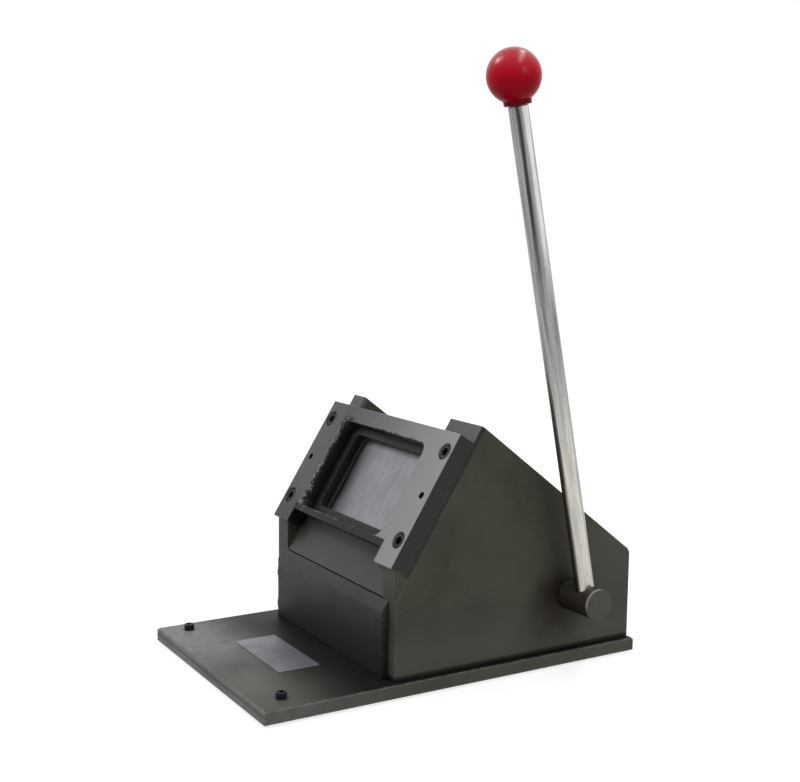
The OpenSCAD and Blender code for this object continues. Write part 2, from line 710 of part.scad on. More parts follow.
module ram_fork() color("#6f7174") difference() {
    union() {
        on_slope(-foot_w / 2, shaft_s + foot_l / 2, foot_back) cube([foot_w, foot_l, foot_t]);
        both_sides() {
            on_slope(ear_x, shaft_s + ear_w / 2, roller_depth)
                cube([ear_t, ear_w, roller_depth - ram_back]);
            on_slope(0, shaft_s, roller_depth) x_rod(ear_w, ear_x, ear_x + ear_t);
        }
    }
    on_slope(0, shaft_s, roller_depth) x_rod(roller_pin_d + 2 * seat_gap, -body_w / 2, body_w / 2);
    for (x = [-1, 1]) for (v = [-1, 1])
        on_slope(x * foot_screw_x, shaft_s + v * foot_screw_v, foot_back + cut)
            cylinder(d = foot_screw_d + 2 * drill_gap, h = foot_t + 2 * cut);
}

module fork_screws() color("#1b1b1d") for (x = [-1, 1]) for (v = [-1, 1])
    on_slope(x * foot_screw_x, shaft_s + v * foot_screw_v, foot_back) rotate([180, 0, 0])
        cap_screw(foot_screw_d, foot_screw_l, foot_screw_d);

clip_t = 1;
clip_gap = 0.4; // from an ear to its clip
clip_rim = 3; // clip beyond the pin's surface
groove_h = 1; // depth of the pin's grooves
groove_gap = 0.1; // clip's play along its groove
pin_out = 3; // pin beyond an ear
pin_end_x = ear_x + ear_t + pin_out;
clip_x = ear_x + ear_t + clip_gap;

module roller_pin() color("#b9bcc0") on_slope(0, shaft_s, roller_depth) difference() {
    x_rod(roller_pin_d, -pin_end_x, pin_end_x);
    both_sides() difference() {
        x_rod(roller_pin_d + cut, clip_x, clip_x + clip_t + groove_gap);
        x_rod(roller_pin_d - 2 * groove_h, clip_x - cut, clip_x + clip_t + cut);
    }
}

module pin_clips() color("#2a2a2c") both_sides() on_slope(0, shaft_s, roller_depth) difference() {
    x_rod(roller_pin_d + 2 * clip_rim, clip_x, clip_x + clip_t);
    x_rod(roller_pin_d - 2 * groove_h + 2 * seat_gap, clip_x - cut, clip_x + clip_t + cut);
}

module cam_roller() color("#9a9da1") on_slope(0, shaft_s, roller_depth) difference() {
    x_rod(roller_d, -cam_w / 2, cam_w / 2);
    x_rod(roller_pin_d + 2 * run_gap, -cam_w, cam_w);
}

// ---------- shaft, cam and lever ----------

module shaft_bush() difference() {
    translate([0, shaft_y, shaft_z]) union() {
        x_rod(bush_d, inner_x, inner_x + bush_l - plate_gap);
        x_rod(flange_d, inner_x - flange_t, inner_x);
    }
    translate([0, shaft_y, shaft_z]) x_rod(shaft_d + 2 * run_gap, inner_x - flange_t - cut, body_w / 2);
}

module right_shaft_bush() color("#b08d4a") shaft_bush();
module left_shaft_bush() color("#b08d4a") mirror([1, 0, 0]) shaft_bush();

key_h = key_w;
key_sunk = key_h * 0.6;
key_short = 1; // from a key's end to the cam's face
key_l = cam_w - 2 * key_short;
hub_end = cam_w / 2 + hub_l;
grub_d = 5;
grub_gap = 0.1; // from a grub screw's tip to the shaft
grub_sunk = 0.5; // from a grub screw's top to the rim

module cross_shaft() color("#45423b") difference() {
    translate([0, shaft_y, shaft_z]) x_rod(shaft_d, -body_w / 2 - shaft_left, body_w / 2 + shaft_out);
    // blind hole for the lever rod
    translate([rod_x, shaft_y, shaft_z]) rotate([rod_lean, 0, 0])
        translate([0, 0, -rod_foot - end_gap]) cylinder(d = rod_d + 2 * seat_gap, h = shaft_d);
    // keyway on the side away from the die plate
    on_shaft(-key_l / 2 - end_gap) translate([0, -key_w / 2, -shaft_d / 2 - cut])
        cube([key_l + 2 * end_gap, key_w, key_sunk + cut]);
}

// Pitch radius of the cam at its own angle: it grows evenly, so the punch moves evenly
function pitch_r(a) = follow_r + rise * (90 - a);
rise_rad = rise * 180 / PI;
function cam_point(a) = let (
    r = pitch_r(a),
    n = [r * cos(a) - rise_rad * sin(a), r * sin(a) + rise_rad * cos(a)]
) r * [cos(a), sin(a)] - (roller_d / 2 + cam_gap) * n / norm(n);

cam_margin = 8; // degrees of cam track beyond each end of the stroke
idle_drop = 1;
back_r = cam_r - idle_drop; // radius of the cam's idle side
idle_arc = [-45, -250]; // degrees where the idle side starts and ends
cam_track = [for (a = [90 + cam_margin:-3:90 - throw_deg - cam_margin]) cam_point(a)];
cam_outline = concat(cam_track, arc([0, 0], back_r, idle_arc[0], idle_arc[1], 12));

module cam() color("#8b8e92") difference() {
    union() {
        on_shaft(-cam_w / 2) rotate([90, 0, 90]) linear_extrude(cam_w) polygon(cam_outline);
        translate([0, shaft_y, shaft_z]) x_rod(hub_d, 0, hub_end);
    }
    translate([0, shaft_y, shaft_z]) x_rod(shaft_d + 2 * seat_gap, -cam_w, hub_end + cut);
    on_shaft(-cam_w) translate([0, -key_w / 2 - seat_gap, -shaft_d / 2 + key_sunk - key_h - end_gap])
        cube([cam_w + hub_end + cut, key_w + 2 * seat_gap, key_h]);
    on_shaft(hub_end - hub_l / 2) rotate([-90, 0, 0]) cylinder(d = grub_d + 2 * seat_gap, h = hub_d);
}

module cam_key() color("#a6a9ad")
    on_shaft(-key_l / 2) translate([0, -key_w / 2 + seat_gap, -shaft_d / 2 + key_sunk - key_h])
        cube([key_l, key_w - 2 * seat_gap, key_h - seat_gap]);

module cam_set_screw() color("#1b1b1d") on_shaft(hub_end - hub_l / 2) rotate([-90, 0, 0])
    translate([0, 0, shaft_d / 2 + grub_gap])
        grub_screw(grub_d, (hub_d - shaft_d) / 2 - grub_gap - grub_sunk);

collar_rim = 6; // wall of a collar
collar_d = shaft_d + 2 * collar_rim;

module shaft_collars() color("#a6a9ad") both_sides() difference() {
    translate([0, shaft_y, shaft_z]) x_rod(collar_d, collar_x, collar_x + collar_t);
    translate([0, shaft_y, shaft_z])
        x_rod(shaft_d + 2 * seat_gap, collar_x - cut, collar_x + collar_t + cut);
    on_shaft(collar_x + collar_t / 2) rotate([-90, 0, 0])
        cylinder(d = grub_d + 2 * seat_gap, h = collar_d);
}

module collar_screws() color("#1b1b1d") both_sides() on_shaft(collar_x + collar_t / 2) rotate([-90, 0, 0])
    translate([0, 0, shaft_d / 2 + grub_gap]) grub_screw(grub_d, collar_rim - grub_gap - grub_sunk);

// Children drawn along the lever, with Z from the shaft's axis to the ball
module on_lever() translate([rod_x, shaft_y, shaft_z]) rotate([rod_lean, 0, 0]) children();

knob_z = rod_reach - ball_d / 2 - boss_out; // end of the ball's boss
insert_l = 16;
insert_floor = 3; // closed end of the insert
knob_gap = 0.3; // from the rod's shoulder to the boss
neck_step = 2; // step from the rod down to its threaded end
thread_l = 10; // threaded end inside the insert

module lever_rod() color("#c4c7ca") on_lever() translate([0, 0, -rod_foot]) {
    cylinder(d = rod_d, h = knob_z - knob_gap + rod_foot);
    cylinder(d = rod_d - 2 * neck_step, h = knob_z + thread_l + rod_foot);
}

module knob_insert() color("#8d9094") on_lever() translate([0, 0, knob_z]) difference() {
    cylinder(d = insert_d, h = insert_l);
    translate([0, 0, -cut])
        cylinder(d = rod_d - 2 * neck_step + 2 * seat_gap, h = insert_l - insert_floor + cut);
}

module ball_knob() color("#a3182b") on_lever() difference() {
    union() {
        translate([0, 0, rod_reach]) sphere(d = ball_d);
        translate([0, 0, knob_z]) cylinder(d = boss_d, h = rod_reach - knob_z);
    }
    translate([0, 0, knob_z - cut])
        cylinder(d = insert_d + 2 * seat_gap, h = insert_l + end_gap + cut);
}

// ---------- what is drawn ----------

base_mat();
base_plate();
bench_screws();
label_plate();
left_side_plate();
right_side_plate();
under_base_screws();
front_panel();
front_panel_screws();
upper_tie_bar();
rear_tie_bar();
rear_cover();
cover_screws();
die_plate();
die_ring();
left_guide_bar();
right_guide_bar();
punch_guide_plate();
die_cap_screws();
die_dowels();
guide_posts();
post_washers();
post_nuts();
return_springs();
punch();
ram_plate();
ram_bushes();
punch_screws();
ram_fork();
fork_screws();
roller_pin();
pin_clips();
cam_roller();
left_shaft_bush();
right_shaft_bush();
cross_shaft();
cam();
cam_key();
cam_set_screw();
shaft_collars();
collar_screws();
lever_rod();
knob_insert();
ball_knob();
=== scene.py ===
"""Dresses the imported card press: finer meshes, finishes, studio and camera.

Lengths are in metres, in the press's own frame: X to the operator's right, Y away from the operator, Z up.
"""

from __future__ import annotations

import logging
import math
from collections.abc import Callable, Iterable, Sequence
from dataclasses import dataclass, field, fields
from enum import Enum

import bmesh
import bpy
from mathutils import Matrix, Vector


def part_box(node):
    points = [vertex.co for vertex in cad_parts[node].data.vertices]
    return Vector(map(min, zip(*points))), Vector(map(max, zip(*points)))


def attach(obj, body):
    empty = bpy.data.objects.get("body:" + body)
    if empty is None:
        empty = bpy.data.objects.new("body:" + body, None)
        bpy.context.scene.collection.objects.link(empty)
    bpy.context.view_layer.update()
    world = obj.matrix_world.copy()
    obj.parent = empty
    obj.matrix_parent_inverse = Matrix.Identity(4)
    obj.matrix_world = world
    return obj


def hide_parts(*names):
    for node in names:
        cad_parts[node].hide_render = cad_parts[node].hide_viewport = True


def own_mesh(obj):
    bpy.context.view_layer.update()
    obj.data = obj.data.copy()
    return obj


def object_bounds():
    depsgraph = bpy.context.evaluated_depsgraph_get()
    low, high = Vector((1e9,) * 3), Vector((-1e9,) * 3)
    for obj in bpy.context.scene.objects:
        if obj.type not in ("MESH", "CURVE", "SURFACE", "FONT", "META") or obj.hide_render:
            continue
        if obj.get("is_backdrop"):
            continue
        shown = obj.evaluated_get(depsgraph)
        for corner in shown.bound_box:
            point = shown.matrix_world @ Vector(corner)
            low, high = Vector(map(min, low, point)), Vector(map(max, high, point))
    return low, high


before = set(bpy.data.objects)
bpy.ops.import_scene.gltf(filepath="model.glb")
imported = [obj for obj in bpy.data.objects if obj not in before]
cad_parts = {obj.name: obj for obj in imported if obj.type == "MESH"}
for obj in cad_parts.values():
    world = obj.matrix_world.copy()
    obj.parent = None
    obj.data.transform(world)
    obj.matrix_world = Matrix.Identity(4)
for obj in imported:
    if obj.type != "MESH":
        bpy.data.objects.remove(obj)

log = logging.getLogger("card_press")
MM = 0.001
Triple = tuple[float, float, float]
Colour = Triple
Seats = list[tuple[Vector, Vector]]
SIDES = (-1, 1)
ACROSS, BACK, UP = Vector((1, 0, 0)), Vector((0, 1, 0)), Vector((0, 0, 1))


def mm(*lengths: float) -> tuple[float, ...]:
    """Turns millimetres into metres."""
    return tuple(length * MM for length in lengths)


def ramp(value: float, start: float, reach: float) -> float:
    """How far a value is past the start, from 0 to 1 over the reach."""
    return max(0.0, min(1.0, (value - start) / reach))


def srgb(red: float, green: float, blue: float) -> Colour:
    """Turns a display colour into the linear one that shaders use.

    Args:
        red: Red from 0 to 255.
        green: Green from 0 to 255.
        blue: Blue from 0 to 255.

    Returns:
        The linear colour.
    """
    parts = []
    for part in (red, green, blue):
        c = part / 255
        parts.append(c / 12.92 if c <= 0.04045 else ((c + 0.055) / 1.055) ** 2.4)
    return (parts[0], parts[1], parts[2])


# ---------------------------------------------------------------- node graphs


def operator(operation: str, swapped: bool = False) -> Callable[..., Wire]:
    """Makes a method of wires that adds a Math node.

    Args:
        operation: The node's operation.
        swapped: True if the wire itself comes last.

    Returns:
        The method.
    """

    def made(self: Wire, *others: Wire | float) -> Wire:
        """The node's result for this wire and the others."""
        return self.graph.math(operation, *((*others, self) if swapped else (self, *others)))

    return made


class Wire:
    """One socket of a node graph that takes part in Python arithmetic."""

    def __init__(self, graph: Graph, out: bpy.types.NodeSocket) -> None:
        """Holds the socket and the graph it belongs to."""
        self.graph = graph
        self.out = out

    __add__ = __radd__ = operator("ADD")
    __sub__, __rsub__ = operator("SUBTRACT"), operator("SUBTRACT", True)
    __mul__ = __rmul__ = operator("MULTIPLY")
    __truediv__, __rtruediv__ = operator("DIVIDE"), operator("DIVIDE", True)
    __pow__, __mod__, __abs__ = operator("POWER"), operator("MODULO"), operator("ABSOLUTE")
    least, most = operator("MINIMUM"), operator("MAXIMUM")

    def __neg__(self) -> Wire:
        """Changes the sign."""
        return self * -1.0

    def clamp(self) -> Wire:
        """This, kept between 0 and 1."""
        return self.least(1.0).most(0.0)


class Graph:
    """A node tree that is filled from Python expressions."""

    def __init__(self, tree: bpy.types.NodeTree) -> None:
        """Starts from an empty tree."""
        self.tree = tree
        tree.nodes.clear()

    def node(self, kind: str, settings: dict | None = None, inputs: dict | None = None) -> bpy.types.Node:
        """Adds a node.

        Args:
            kind: The node's type.
            settings: Its own settings, which are set first.
            inputs: Values, colours or wires by socket name or number.

        Returns:
            The node.
        """
        made = self.tree.nodes.new(kind)
        for key, value in (settings or {}).items():
            setattr(made, key, value)
        for key, value in (inputs or {}).items():
            self.feed(made.inputs[key], value)
        return made

    def feed(self, socket: bpy.types.NodeSocket, value: object) -> None:
        """Links a wire to a socket, or sets the socket's own value.

        Args:
            socket: The input.
            value: A wire, a number, a vector or a colour.
        """
        if isinstance(value, Wire):
            self.tree.links.new(value.out, socket)
        elif isinstance(value, tuple) and len(value) == 3 and socket.type == "RGBA":
            socket.default_value = (*value, 1.0)
        else:
            socket.default_value = value

    def get(self, kind: str, settings: dict | None = None, inputs: dict | None = None,
            out: int | str = 0) -> Wire:
        """Adds a node and takes one of its outputs.

        Args:
            kind: The node's type.
            settings: Its own settings.
            inputs: Its inputs by name or number.
            out: The output's name or number.

        Returns:
            The output as a wire.
        """
        return Wire(self, self.node(kind, settings, inputs).outputs[out])

    def math(self, operation: str, *values: Wire | float) -> Wire:
        """Adds a Math node for numbers."""
        return self.get("ShaderNodeMath", {"operation": operation}, dict(enumerate(values)))

    def vector(self, operation: str, *values: Wire | Sequence[float]) -> Wire:
        """Adds a Vector Math node."""
        return self.get("ShaderNodeVectorMath", {"operation": operation}, dict(enumerate(values)))

    def split(self, vector: Wire) -> tuple[Wire, Wire, Wire]:
        """Takes a vector apart."""
        made = self.node("ShaderNodeSeparateXYZ", None, {0: vector})
        return (Wire(self, made.outputs[0]), Wire(self, made.outputs[1]), Wire(self, made.outputs[2]))

    def join(self, x: Wire | float, y: Wire | float, z: Wire | float) -> Wire:
        """Puts a vector together."""
        return self.get("ShaderNodeCombineXYZ", None, {0: x, 1: y, 2: z})


class SurfaceGraph(Graph):
    """A material's node tree."""

    def __init__(self, name: str) -> None:
        """Makes the material and an empty tree for it."""
        self.material = bpy.data.materials.new(name)
        self.material.use_nodes = True
        super().__init__(self.material.node_tree)
        self.place = self.get("ShaderNodeTexCoord", out="Object")

    def noise(self, scale: float, stretch: Triple = (1, 1, 1), detail: float = 3, rough: float = 0.55,
              warp: float = 0, vector: Wire | None = None) -> Wire:
        """Cloudy noise on the surface.

        Args:
            scale: Cells for each metre.
            stretch: Scale along each axis.
            detail: Octaves.
            rough: Weight of the finer octaves.
            warp: Distortion.
            vector: The place, if not the object's own.

        Returns:
            The noise, from 0 to 1 round 0.5.
        """
        where = self.vector("MULTIPLY", vector or self.place, stretch)
        return self.get("ShaderNodeTexNoise", None, {
            "Vector": where, "Scale": scale, "Detail": detail, "Roughness": rough, "Distortion": warp})

    def drift(self, scale: float, reach: float) -> Wire:
        """A slow shift of up to half the reach either way."""
        return self.noise(scale, detail=3) * reach - reach / 2

    def rise(self, value: Wire, low: float, high: float, start: float = 0, end: float = 1) -> Wire:
        """A smooth step between two levels.

        Args:
            value: What is stepped.
            low: Where the step starts.
            high: Where it ends.
            start: The result before the step.
            end: The result after it.

        Returns:
            The stepped value.
        """
        return self.get("ShaderNodeMapRange", {"interpolation_type": "SMOOTHSTEP"}, {
            "Value": value, "From Min": low, "From Max": high, "To Min": start, "To Max": end})

    def blend(self, share: Wire | float, first: Wire | Colour, second: Wire | Colour) -> Wire:
        """Mixes two colours."""
        return self.get("ShaderNodeMix", {"data_type": "RGBA"}, {0: share, 6: first, 7: second}, 2)

    def shade(self, colour: Wire, factor: Wire) -> Wire:
        """Multiplies a colour by a number."""
        grey = self.join(factor, factor, factor)
        return self.get("ShaderNodeMix", {"data_type": "RGBA", "blend_type": "MULTIPLY"},
                        {0: 1.0, 6: colour, 7: grey}, 2)

    def span(self, a: Wire, b: Wire) -> Wire:
        """The length of a step that has two parts at right angles."""
        return self.math("SQRT", a ** 2.0 + b ** 2.0)

    def bump(self, height: Wire, depth: float, strength: float = 1.0) -> Wire:
        """Turns a height into a surface normal.

        Args:
            height: The height, from 0 to 1.
            depth: The depth of one unit in metres.
            strength: How much of it shows.

        Returns:
            The normal.
        """
        return self.get("ShaderNodeBump", None, {"Height": height, "Distance": depth, "Strength": strength})

    def finish(self, **values: object) -> bpy.types.Material:
        """Closes the tree with a Principled shader.

        Args:
            **values: Its inputs, with underscores for spaces.

        Returns:
            The material.
        """
        named = {key.replace("_", " "): value for key, value in values.items()}
        shader = self.get("ShaderNodeBsdfPrincipled", None, named)
        self.node("ShaderNodeOutputMaterial", None, {"Surface": shader})
        return self.material


class SolidGraph(Graph):
    """A geometry node tree with named sizes."""

    def __init__(self, name: str) -> None:
        """Makes the tree with its geometry input and output."""
        super().__init__(bpy.data.node_groups.new(name, "GeometryNodeTree"))
        face = self.tree.interface
        face.new_socket("Geometry", in_out="INPUT", socket_type="NodeSocketGeometry")
        face.new_socket("Geometry", in_out="OUTPUT", socket_type="NodeSocketGeometry")
        self.entry = self.node("NodeGroupInput")
        self.keys: dict[str, str] = {}

    def size(self, name: str, kind: str = "NodeSocketFloat") -> Wire:
        """Adds a named input to the tree.

        Args:
            name: What the input is called.
            kind: Its socket type.

        Returns:
            The input as a wire.
        """
        made = self.tree.interface.new_socket(name, in_out="INPUT", socket_type=kind)
        self.keys[name] = made.identifier
        return Wire(self, self.entry.outputs[name])

    def turned(self, sides: int, radius: Wire | float, height: Wire | float, rings: int = 1) -> Wire:
        """A closed cylinder, centred on the origin."""
        return self.get("GeometryNodeMeshCylinder", {"fill_type": "NGON"}, {
            "Vertices": sides, "Side Segments": rings, "Radius": radius, "Depth": height})

    def moved(self, solid: Wire, x: Wire | float, y: Wire | float, z: Wire | float) -> Wire:
        """A solid moved by an offset."""
        return self.get("GeometryNodeSetPosition", None, {"Geometry": solid, "Offset": self.join(x, y, z)})

    def reshaped(self, solid: Wire, position: Wire) -> Wire:
        """A solid with a new position for each of its points."""
        return self.get("GeometryNodeSetPosition", None, {"Geometry": solid, "Position": position})

    def cut(self, solid: Wire, tool: Wire) -> Wire:
        """One solid less another."""
        return self.get("GeometryNodeMeshBoolean", {"operation": "DIFFERENCE"},
                        {"Mesh 1": solid, "Mesh 2": tool})

    def together(self, *solids: Wire) -> Wire:
        """Several solids as one."""
        made = self.node("GeometryNodeJoinGeometry")
        for solid in solids:
            self.tree.links.new(solid.out, made.inputs[0])
        return Wire(self, made.outputs[0])

    def close(self, solid: Wire, material: Wire) -> None:
        """Puts a copy at each seat along its axis, makes it real and gives it the finish.

        Args:
            solid: What is repeated, with Z along the seat's axis.
            material: The finish.
        """
        axis = self.get("GeometryNodeInputNamedAttribute", {"data_type": "FLOAT_VECTOR"},
                        {"Name": "axis"})
        turn = self.get("FunctionNodeAlignRotationToVector", {"axis": "Z"}, {"Vector": axis})
        seats = Wire(self, self.entry.outputs[0])
        copies = self.get("GeometryNodeInstanceOnPoints", None, {
            "Points": seats, "Instance": solid, "Rotation": turn})
        real = self.get("GeometryNodeRealizeInstances", None, {0: copies})
        done = self.get("GeometryNodeSetMaterial", None, {"Geometry": real, "Material": material})
        self.node("NodeGroupOutput", None, {0: done})


# ---------------------------------------------------------------- the press's own frames


@dataclass(frozen=True)
class Slope:
    """The die plate's frame: x across, s down the slope and depth behind its face.

    The guide bars lie behind the plate, down to the depth called bars, and their lugs stand above its top.
    """

    angle: float = math.radians(58.1)
    plate: float = 11.5 * MM
    bars: float = 14.5 * MM
    lugs: float = -11.4 * MM
    length: float = 90.6 * MM

    @property
    def out(self) -> Vector:
        """The direction out of the die plate's face."""
        return Vector((0, -math.sin(self.angle), math.cos(self.angle)))

    @property
    def up(self) -> Vector:
        """The direction up the slope."""
        return Vector((0, math.cos(self.angle), math.sin(self.angle)))

    @property
    def top(self) -> Vector:
        """The middle of the die plate's top front edge."""
        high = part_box("die_plate")[1]
        return Vector((0, high.y - self.plate * math.sin(self.angle), high.z))

    def point(self, x: float, s: float, depth: float) -> Vector:
        """The place of a point that is given in the slope's frame."""
        return self.top + Vector((x, 0, 0)) - self.up * s - self.out * depth

    def seats(self, half: float, down: Iterable[float], depth: float, axis: Vector) -> Seats:
        """Seats in pairs to the left and the right of the slope's middle line.

        Args:
            half: Half the distance between the two of a pair.
            down: How far down the slope the pairs are.
            depth: How far behind the face.
            axis: The seats' axis.

        Returns:
            The seats' places and axes.
        """
        places = [(side * half, s) for side in SIDES for s in down]
        return [(self.point(x, s, depth), axis) for x, s in places]

    def wires(self, graph: SurfaceGraph) -> tuple[Wire, Wire, Wire]:
        """The slope's coordinates of the shaded point.

        Args:
            graph: The material's tree.

        Returns:
            x, s and depth in metres.
        """
        local = graph.vector("SUBTRACT", graph.place, tuple(self.top))
        x = graph.split(local)[0]
        along = [graph.get("ShaderNodeVectorMath", {"operation": "DOT_PRODUCT"},
                           {0: local, 1: tuple(way)}, "Value") for way in (self.up, self.out)]
        return (x, -along[0], -along[1])


SLOPE = Slope()
EdgeField = Callable[[SurfaceGraph], Wire]


def box_edges(low: Vector, high: Vector) -> EdgeField:
    """Distance to the nearest edge of an upright box, for points on its faces.

    Args:
        low: The box's lowest corner.
        high: Its highest corner.

    Returns:
        A function that adds the distance to a material's tree.
    """

    def made(graph: SurfaceGraph) -> Wire:
        """The middle one of the three distances to the box's faces."""
        gaps = []
        for part, a, b in zip(graph.split(graph.place), low, high):
            gaps.append((part - a).least(b - part))
        a, b, c = gaps
        return a.least(b).most(a.most(b).least(c))

    return made


def slope_edges(half: float, s0: float, s1: float, d0: float, d1: float,
                window: Window | None = None) -> EdgeField:
    """Distance to the nearest edge of a plate that lies on the slope.

    Args:
        half: Half the plate's width.
        s0: Where it starts down the slope.
        s1: Where it ends.
        d0: The depth of its front.
        d1: The depth of its back.
        window: The window cut through it.

    Returns:
        A function that adds the distance to a material's tree.
    """

    def made(graph: SurfaceGraph) -> Wire:
        """The distance in the slope's frame."""
        x, s, depth = SLOPE.wires(graph)
        across = half - abs(x)
        along = (s - s0).least(s1 - s)
        through = (depth - d0).least(d1 - depth)
        far = across.least(along).most(across.most(along).least(through))
        if window:
            far = far.least(abs(window.outside(graph)).most(depth))
        return far

    return made


@dataclass(frozen=True)
class Window:
    """The rounded opening in the die plate."""

    width: float = 103.4 * MM
    length: float = 64.8 * MM
    radius: float = 7 * MM
    middle: float = 43.8 * MM

    def outside(self, graph: SurfaceGraph) -> Wire:
        """Signed distance from the window's rim, along the die plate's face.

        Args:
            graph: The material's tree.

        Returns:
            The distance, which is negative inside the window.
        """
        x, s, _ = SLOPE.wires(graph)
        qx = abs(x) - (self.width / 2 - self.radius)
        qs = abs(s - self.middle) - (self.length / 2 - self.radius)
        corner = graph.span(qx.most(0.0), qs.most(0.0))
        return corner + qx.most(qs).least(0.0) - self.radius


@dataclass(frozen=True)
class SideOutline:
    """The outline of a side plate, seen from the side, as straight edges."""

    thickness: float = 15 * MM
    roof_angle: float = math.radians(-37.38)

    def distance(self, graph: SurfaceGraph) -> Wire:
        """Distance to the nearest outer edge of either side plate.

        Args:
            graph: The material's tree.

        Returns:
            The distance in metres.
        """
        low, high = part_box("right_side_plate")
        x, y, z = graph.split(graph.place)
        _, _, depth = SLOPE.wires(graph)
        apex = SLOPE.point(0, SLOPE.lugs, SLOPE.bars)
        roof = (y - apex.y) * math.sin(self.roof_angle) - (z - apex.z) * math.cos(self.roof_angle)
        rim = roof.least(high.y - y).least(depth - SLOPE.bars).least(y - low.y).least(z - low.z)
        flat = (high.x - abs(x)).least(abs(x) - (high.x - self.thickness))
        return abs(rim).most(abs(flat))


# ---------------------------------------------------------------- finishes


@dataclass(frozen=True)
class Finish:
    """A surface finish: its own name and the record's slot."""

    name: str
    slot: str

    def material(self) -> bpy.types.Material:
        """The finish's material, made once."""
        return bpy.data.materials.get(self.name) or self.build(SurfaceGraph(self.name))

    def build(self, graph: SurfaceGraph) -> bpy.types.Material:
        """Fills the material's tree."""
        raise NotImplementedError


Tint = Callable[[SurfaceGraph, Wire], Wire]


@dataclass(frozen=True)
class WornPaint(Finish):
    """Satin paint over steel: mottled, faintly dimpled, and worn through along its edges.

    The wear has a width, the share of bare steel in it, how ragged it is, and the share of it that is left
    where the piece is least handled.
    """

    colour: Colour = srgb(67, 66, 56)
    deep: Colour = srgb(45, 42, 34)
    worn: Colour = srgb(128, 127, 120)
    edges: EdgeField | None = None
    wear: float = 0.8 * MM
    bare: float = 0.6
    ragged: float = 3
    least: float = 0.2
    tint: Tint | None = None
    rough: float = 0.52

    def build(self, graph: SurfaceGraph) -> bpy.types.Material:
        """Clouds, dimples, scuffs and worn edges."""
        clouds = graph.noise(15, detail=4, warp=0.3)
        fine = graph.noise(900, detail=2)
        speck = graph.noise(2600, detail=1)
        colour = graph.blend(graph.rise(clouds, 0.25, 0.8), self.colour, self.deep)
        colour = graph.shade(colour, graph.rise(fine, 0.3, 0.75, 0.94, 1.07))
        if self.tint:
            colour = self.tint(graph, colour)
        scuff = graph.rise(graph.noise(120, (1, 9, 9), 3, 0.6, 0.3), 0.66, 0.8) * 0.16
        bare = scuff
        if self.edges:
            rub = graph.noise(190, detail=4, rough=0.65)
            handled = graph.rise(graph.noise(24, detail=2), 0.38, 0.62, self.least, 1.0)
            ragged = self.edges(graph) - (rub - 0.5) * (self.wear * self.ragged)
            bare = scuff + graph.rise(ragged, self.wear, 0.0, 0.0, self.bare) * handled
        colour = graph.blend(bare.clamp(), colour, self.worn)
        rough = graph.rise(clouds, 0.3, 0.7, self.rough - 0.05, self.rough + 0.08) - bare * 0.12
        return graph.finish(
            Base_Color=colour, Roughness=rough, Metallic=0.0, Specular_IOR_Level=0.2,
            Normal=graph.bump(fine * 0.6 + speck * 0.25, 0.06 * MM, 0.7))


@dataclass(frozen=True)
class Steel(Finish):
    """Bare steel with the marks of its making along one direction."""

    colour: Colour = srgb(150, 152, 155)
    deep: Colour = srgb(98, 99, 102)
    lines: Triple = (1, 40, 40)
    rough: float = 0.34
    metallic: float = 1.0
    pitch: float = 60

    def build(self, graph: SurfaceGraph) -> bpy.types.Material:
        """Fine parallel marks over a slow stain."""
        marks = graph.noise(self.pitch, self.lines, 3, 0.7)
        stain = graph.noise(38, detail=4, warp=0.5)
        colour = graph.blend(graph.rise(marks, 0.3, 0.75), self.colour, self.deep)
        colour = graph.shade(colour, graph.rise(stain, 0.3, 0.7, 0.82, 1.05))
        rough = graph.rise(stain, 0.3, 0.7, self.rough + 0.12, self.rough)
        return graph.finish(
            Base_Color=colour, Roughness=rough, Metallic=self.metallic,
            Normal=graph.bump(marks, 0.03 * MM, 0.6))


@dataclass(frozen=True)
class BlackOxide(Finish):
    """Black oxide on steel: nearly black, with a dull gleam where it is worn."""

    colour: Colour = srgb(20, 20, 21)
    rubbed: Colour = srgb(58, 58, 60)

    def build(self, graph: SurfaceGraph) -> bpy.types.Material:
        """Rub marks over black."""
        rub = graph.noise(420, detail=4, rough=0.65)
        colour = graph.blend(graph.rise(rub, 0.52, 0.75), self.colour, self.rubbed)
        return graph.finish(
            Base_Color=colour, Roughness=graph.rise(rub, 0.3, 0.7, 0.5, 0.38), Metallic=0.2,
            Specular_IOR_Level=0.25, Normal=graph.bump(rub, 0.04 * MM, 0.5))


BLACK = BlackOxide("black oxide", "black_oxide")
GROUND = Steel("ground steel", "tool_steel")
MACHINED = Steel("machined steel", "machined_steel")
BRONZE = Steel("bronze", "bronze", srgb(176, 141, 74), srgb(130, 98, 48))


@dataclass(frozen=True)
class LeverFrame:
    """The lever's own frame: a foot on the shaft's axis and a lean forward."""

    foot: tuple[float, ...] = mm(96.3, 84.7, 45.6)
    lean: float = math.radians(11.6)

    @property
    def matrix(self) -> Matrix:
        """The frame's place, with Z from the shaft to the ball."""
        return Matrix.Translation(self.foot) @ Matrix.Rotation(self.lean, 4, "X")

    def wires(self, graph: SurfaceGraph) -> tuple[Wire, Wire, Wire]:
        """The frame's coordinates of the shaded point.

        Args:
            graph: The material's tree.

        Returns:
            To the right, backwards and up along the lever, in metres.
        """
        x, y, z = graph.split(graph.vector("SUBTRACT", graph.place, self.foot))
        along = z * math.cos(self.lean) - y * math.sin(self.lean)
        return (x, y * math.cos(self.lean) + z * math.sin(self.lean), along)


LEVER = LeverFrame()


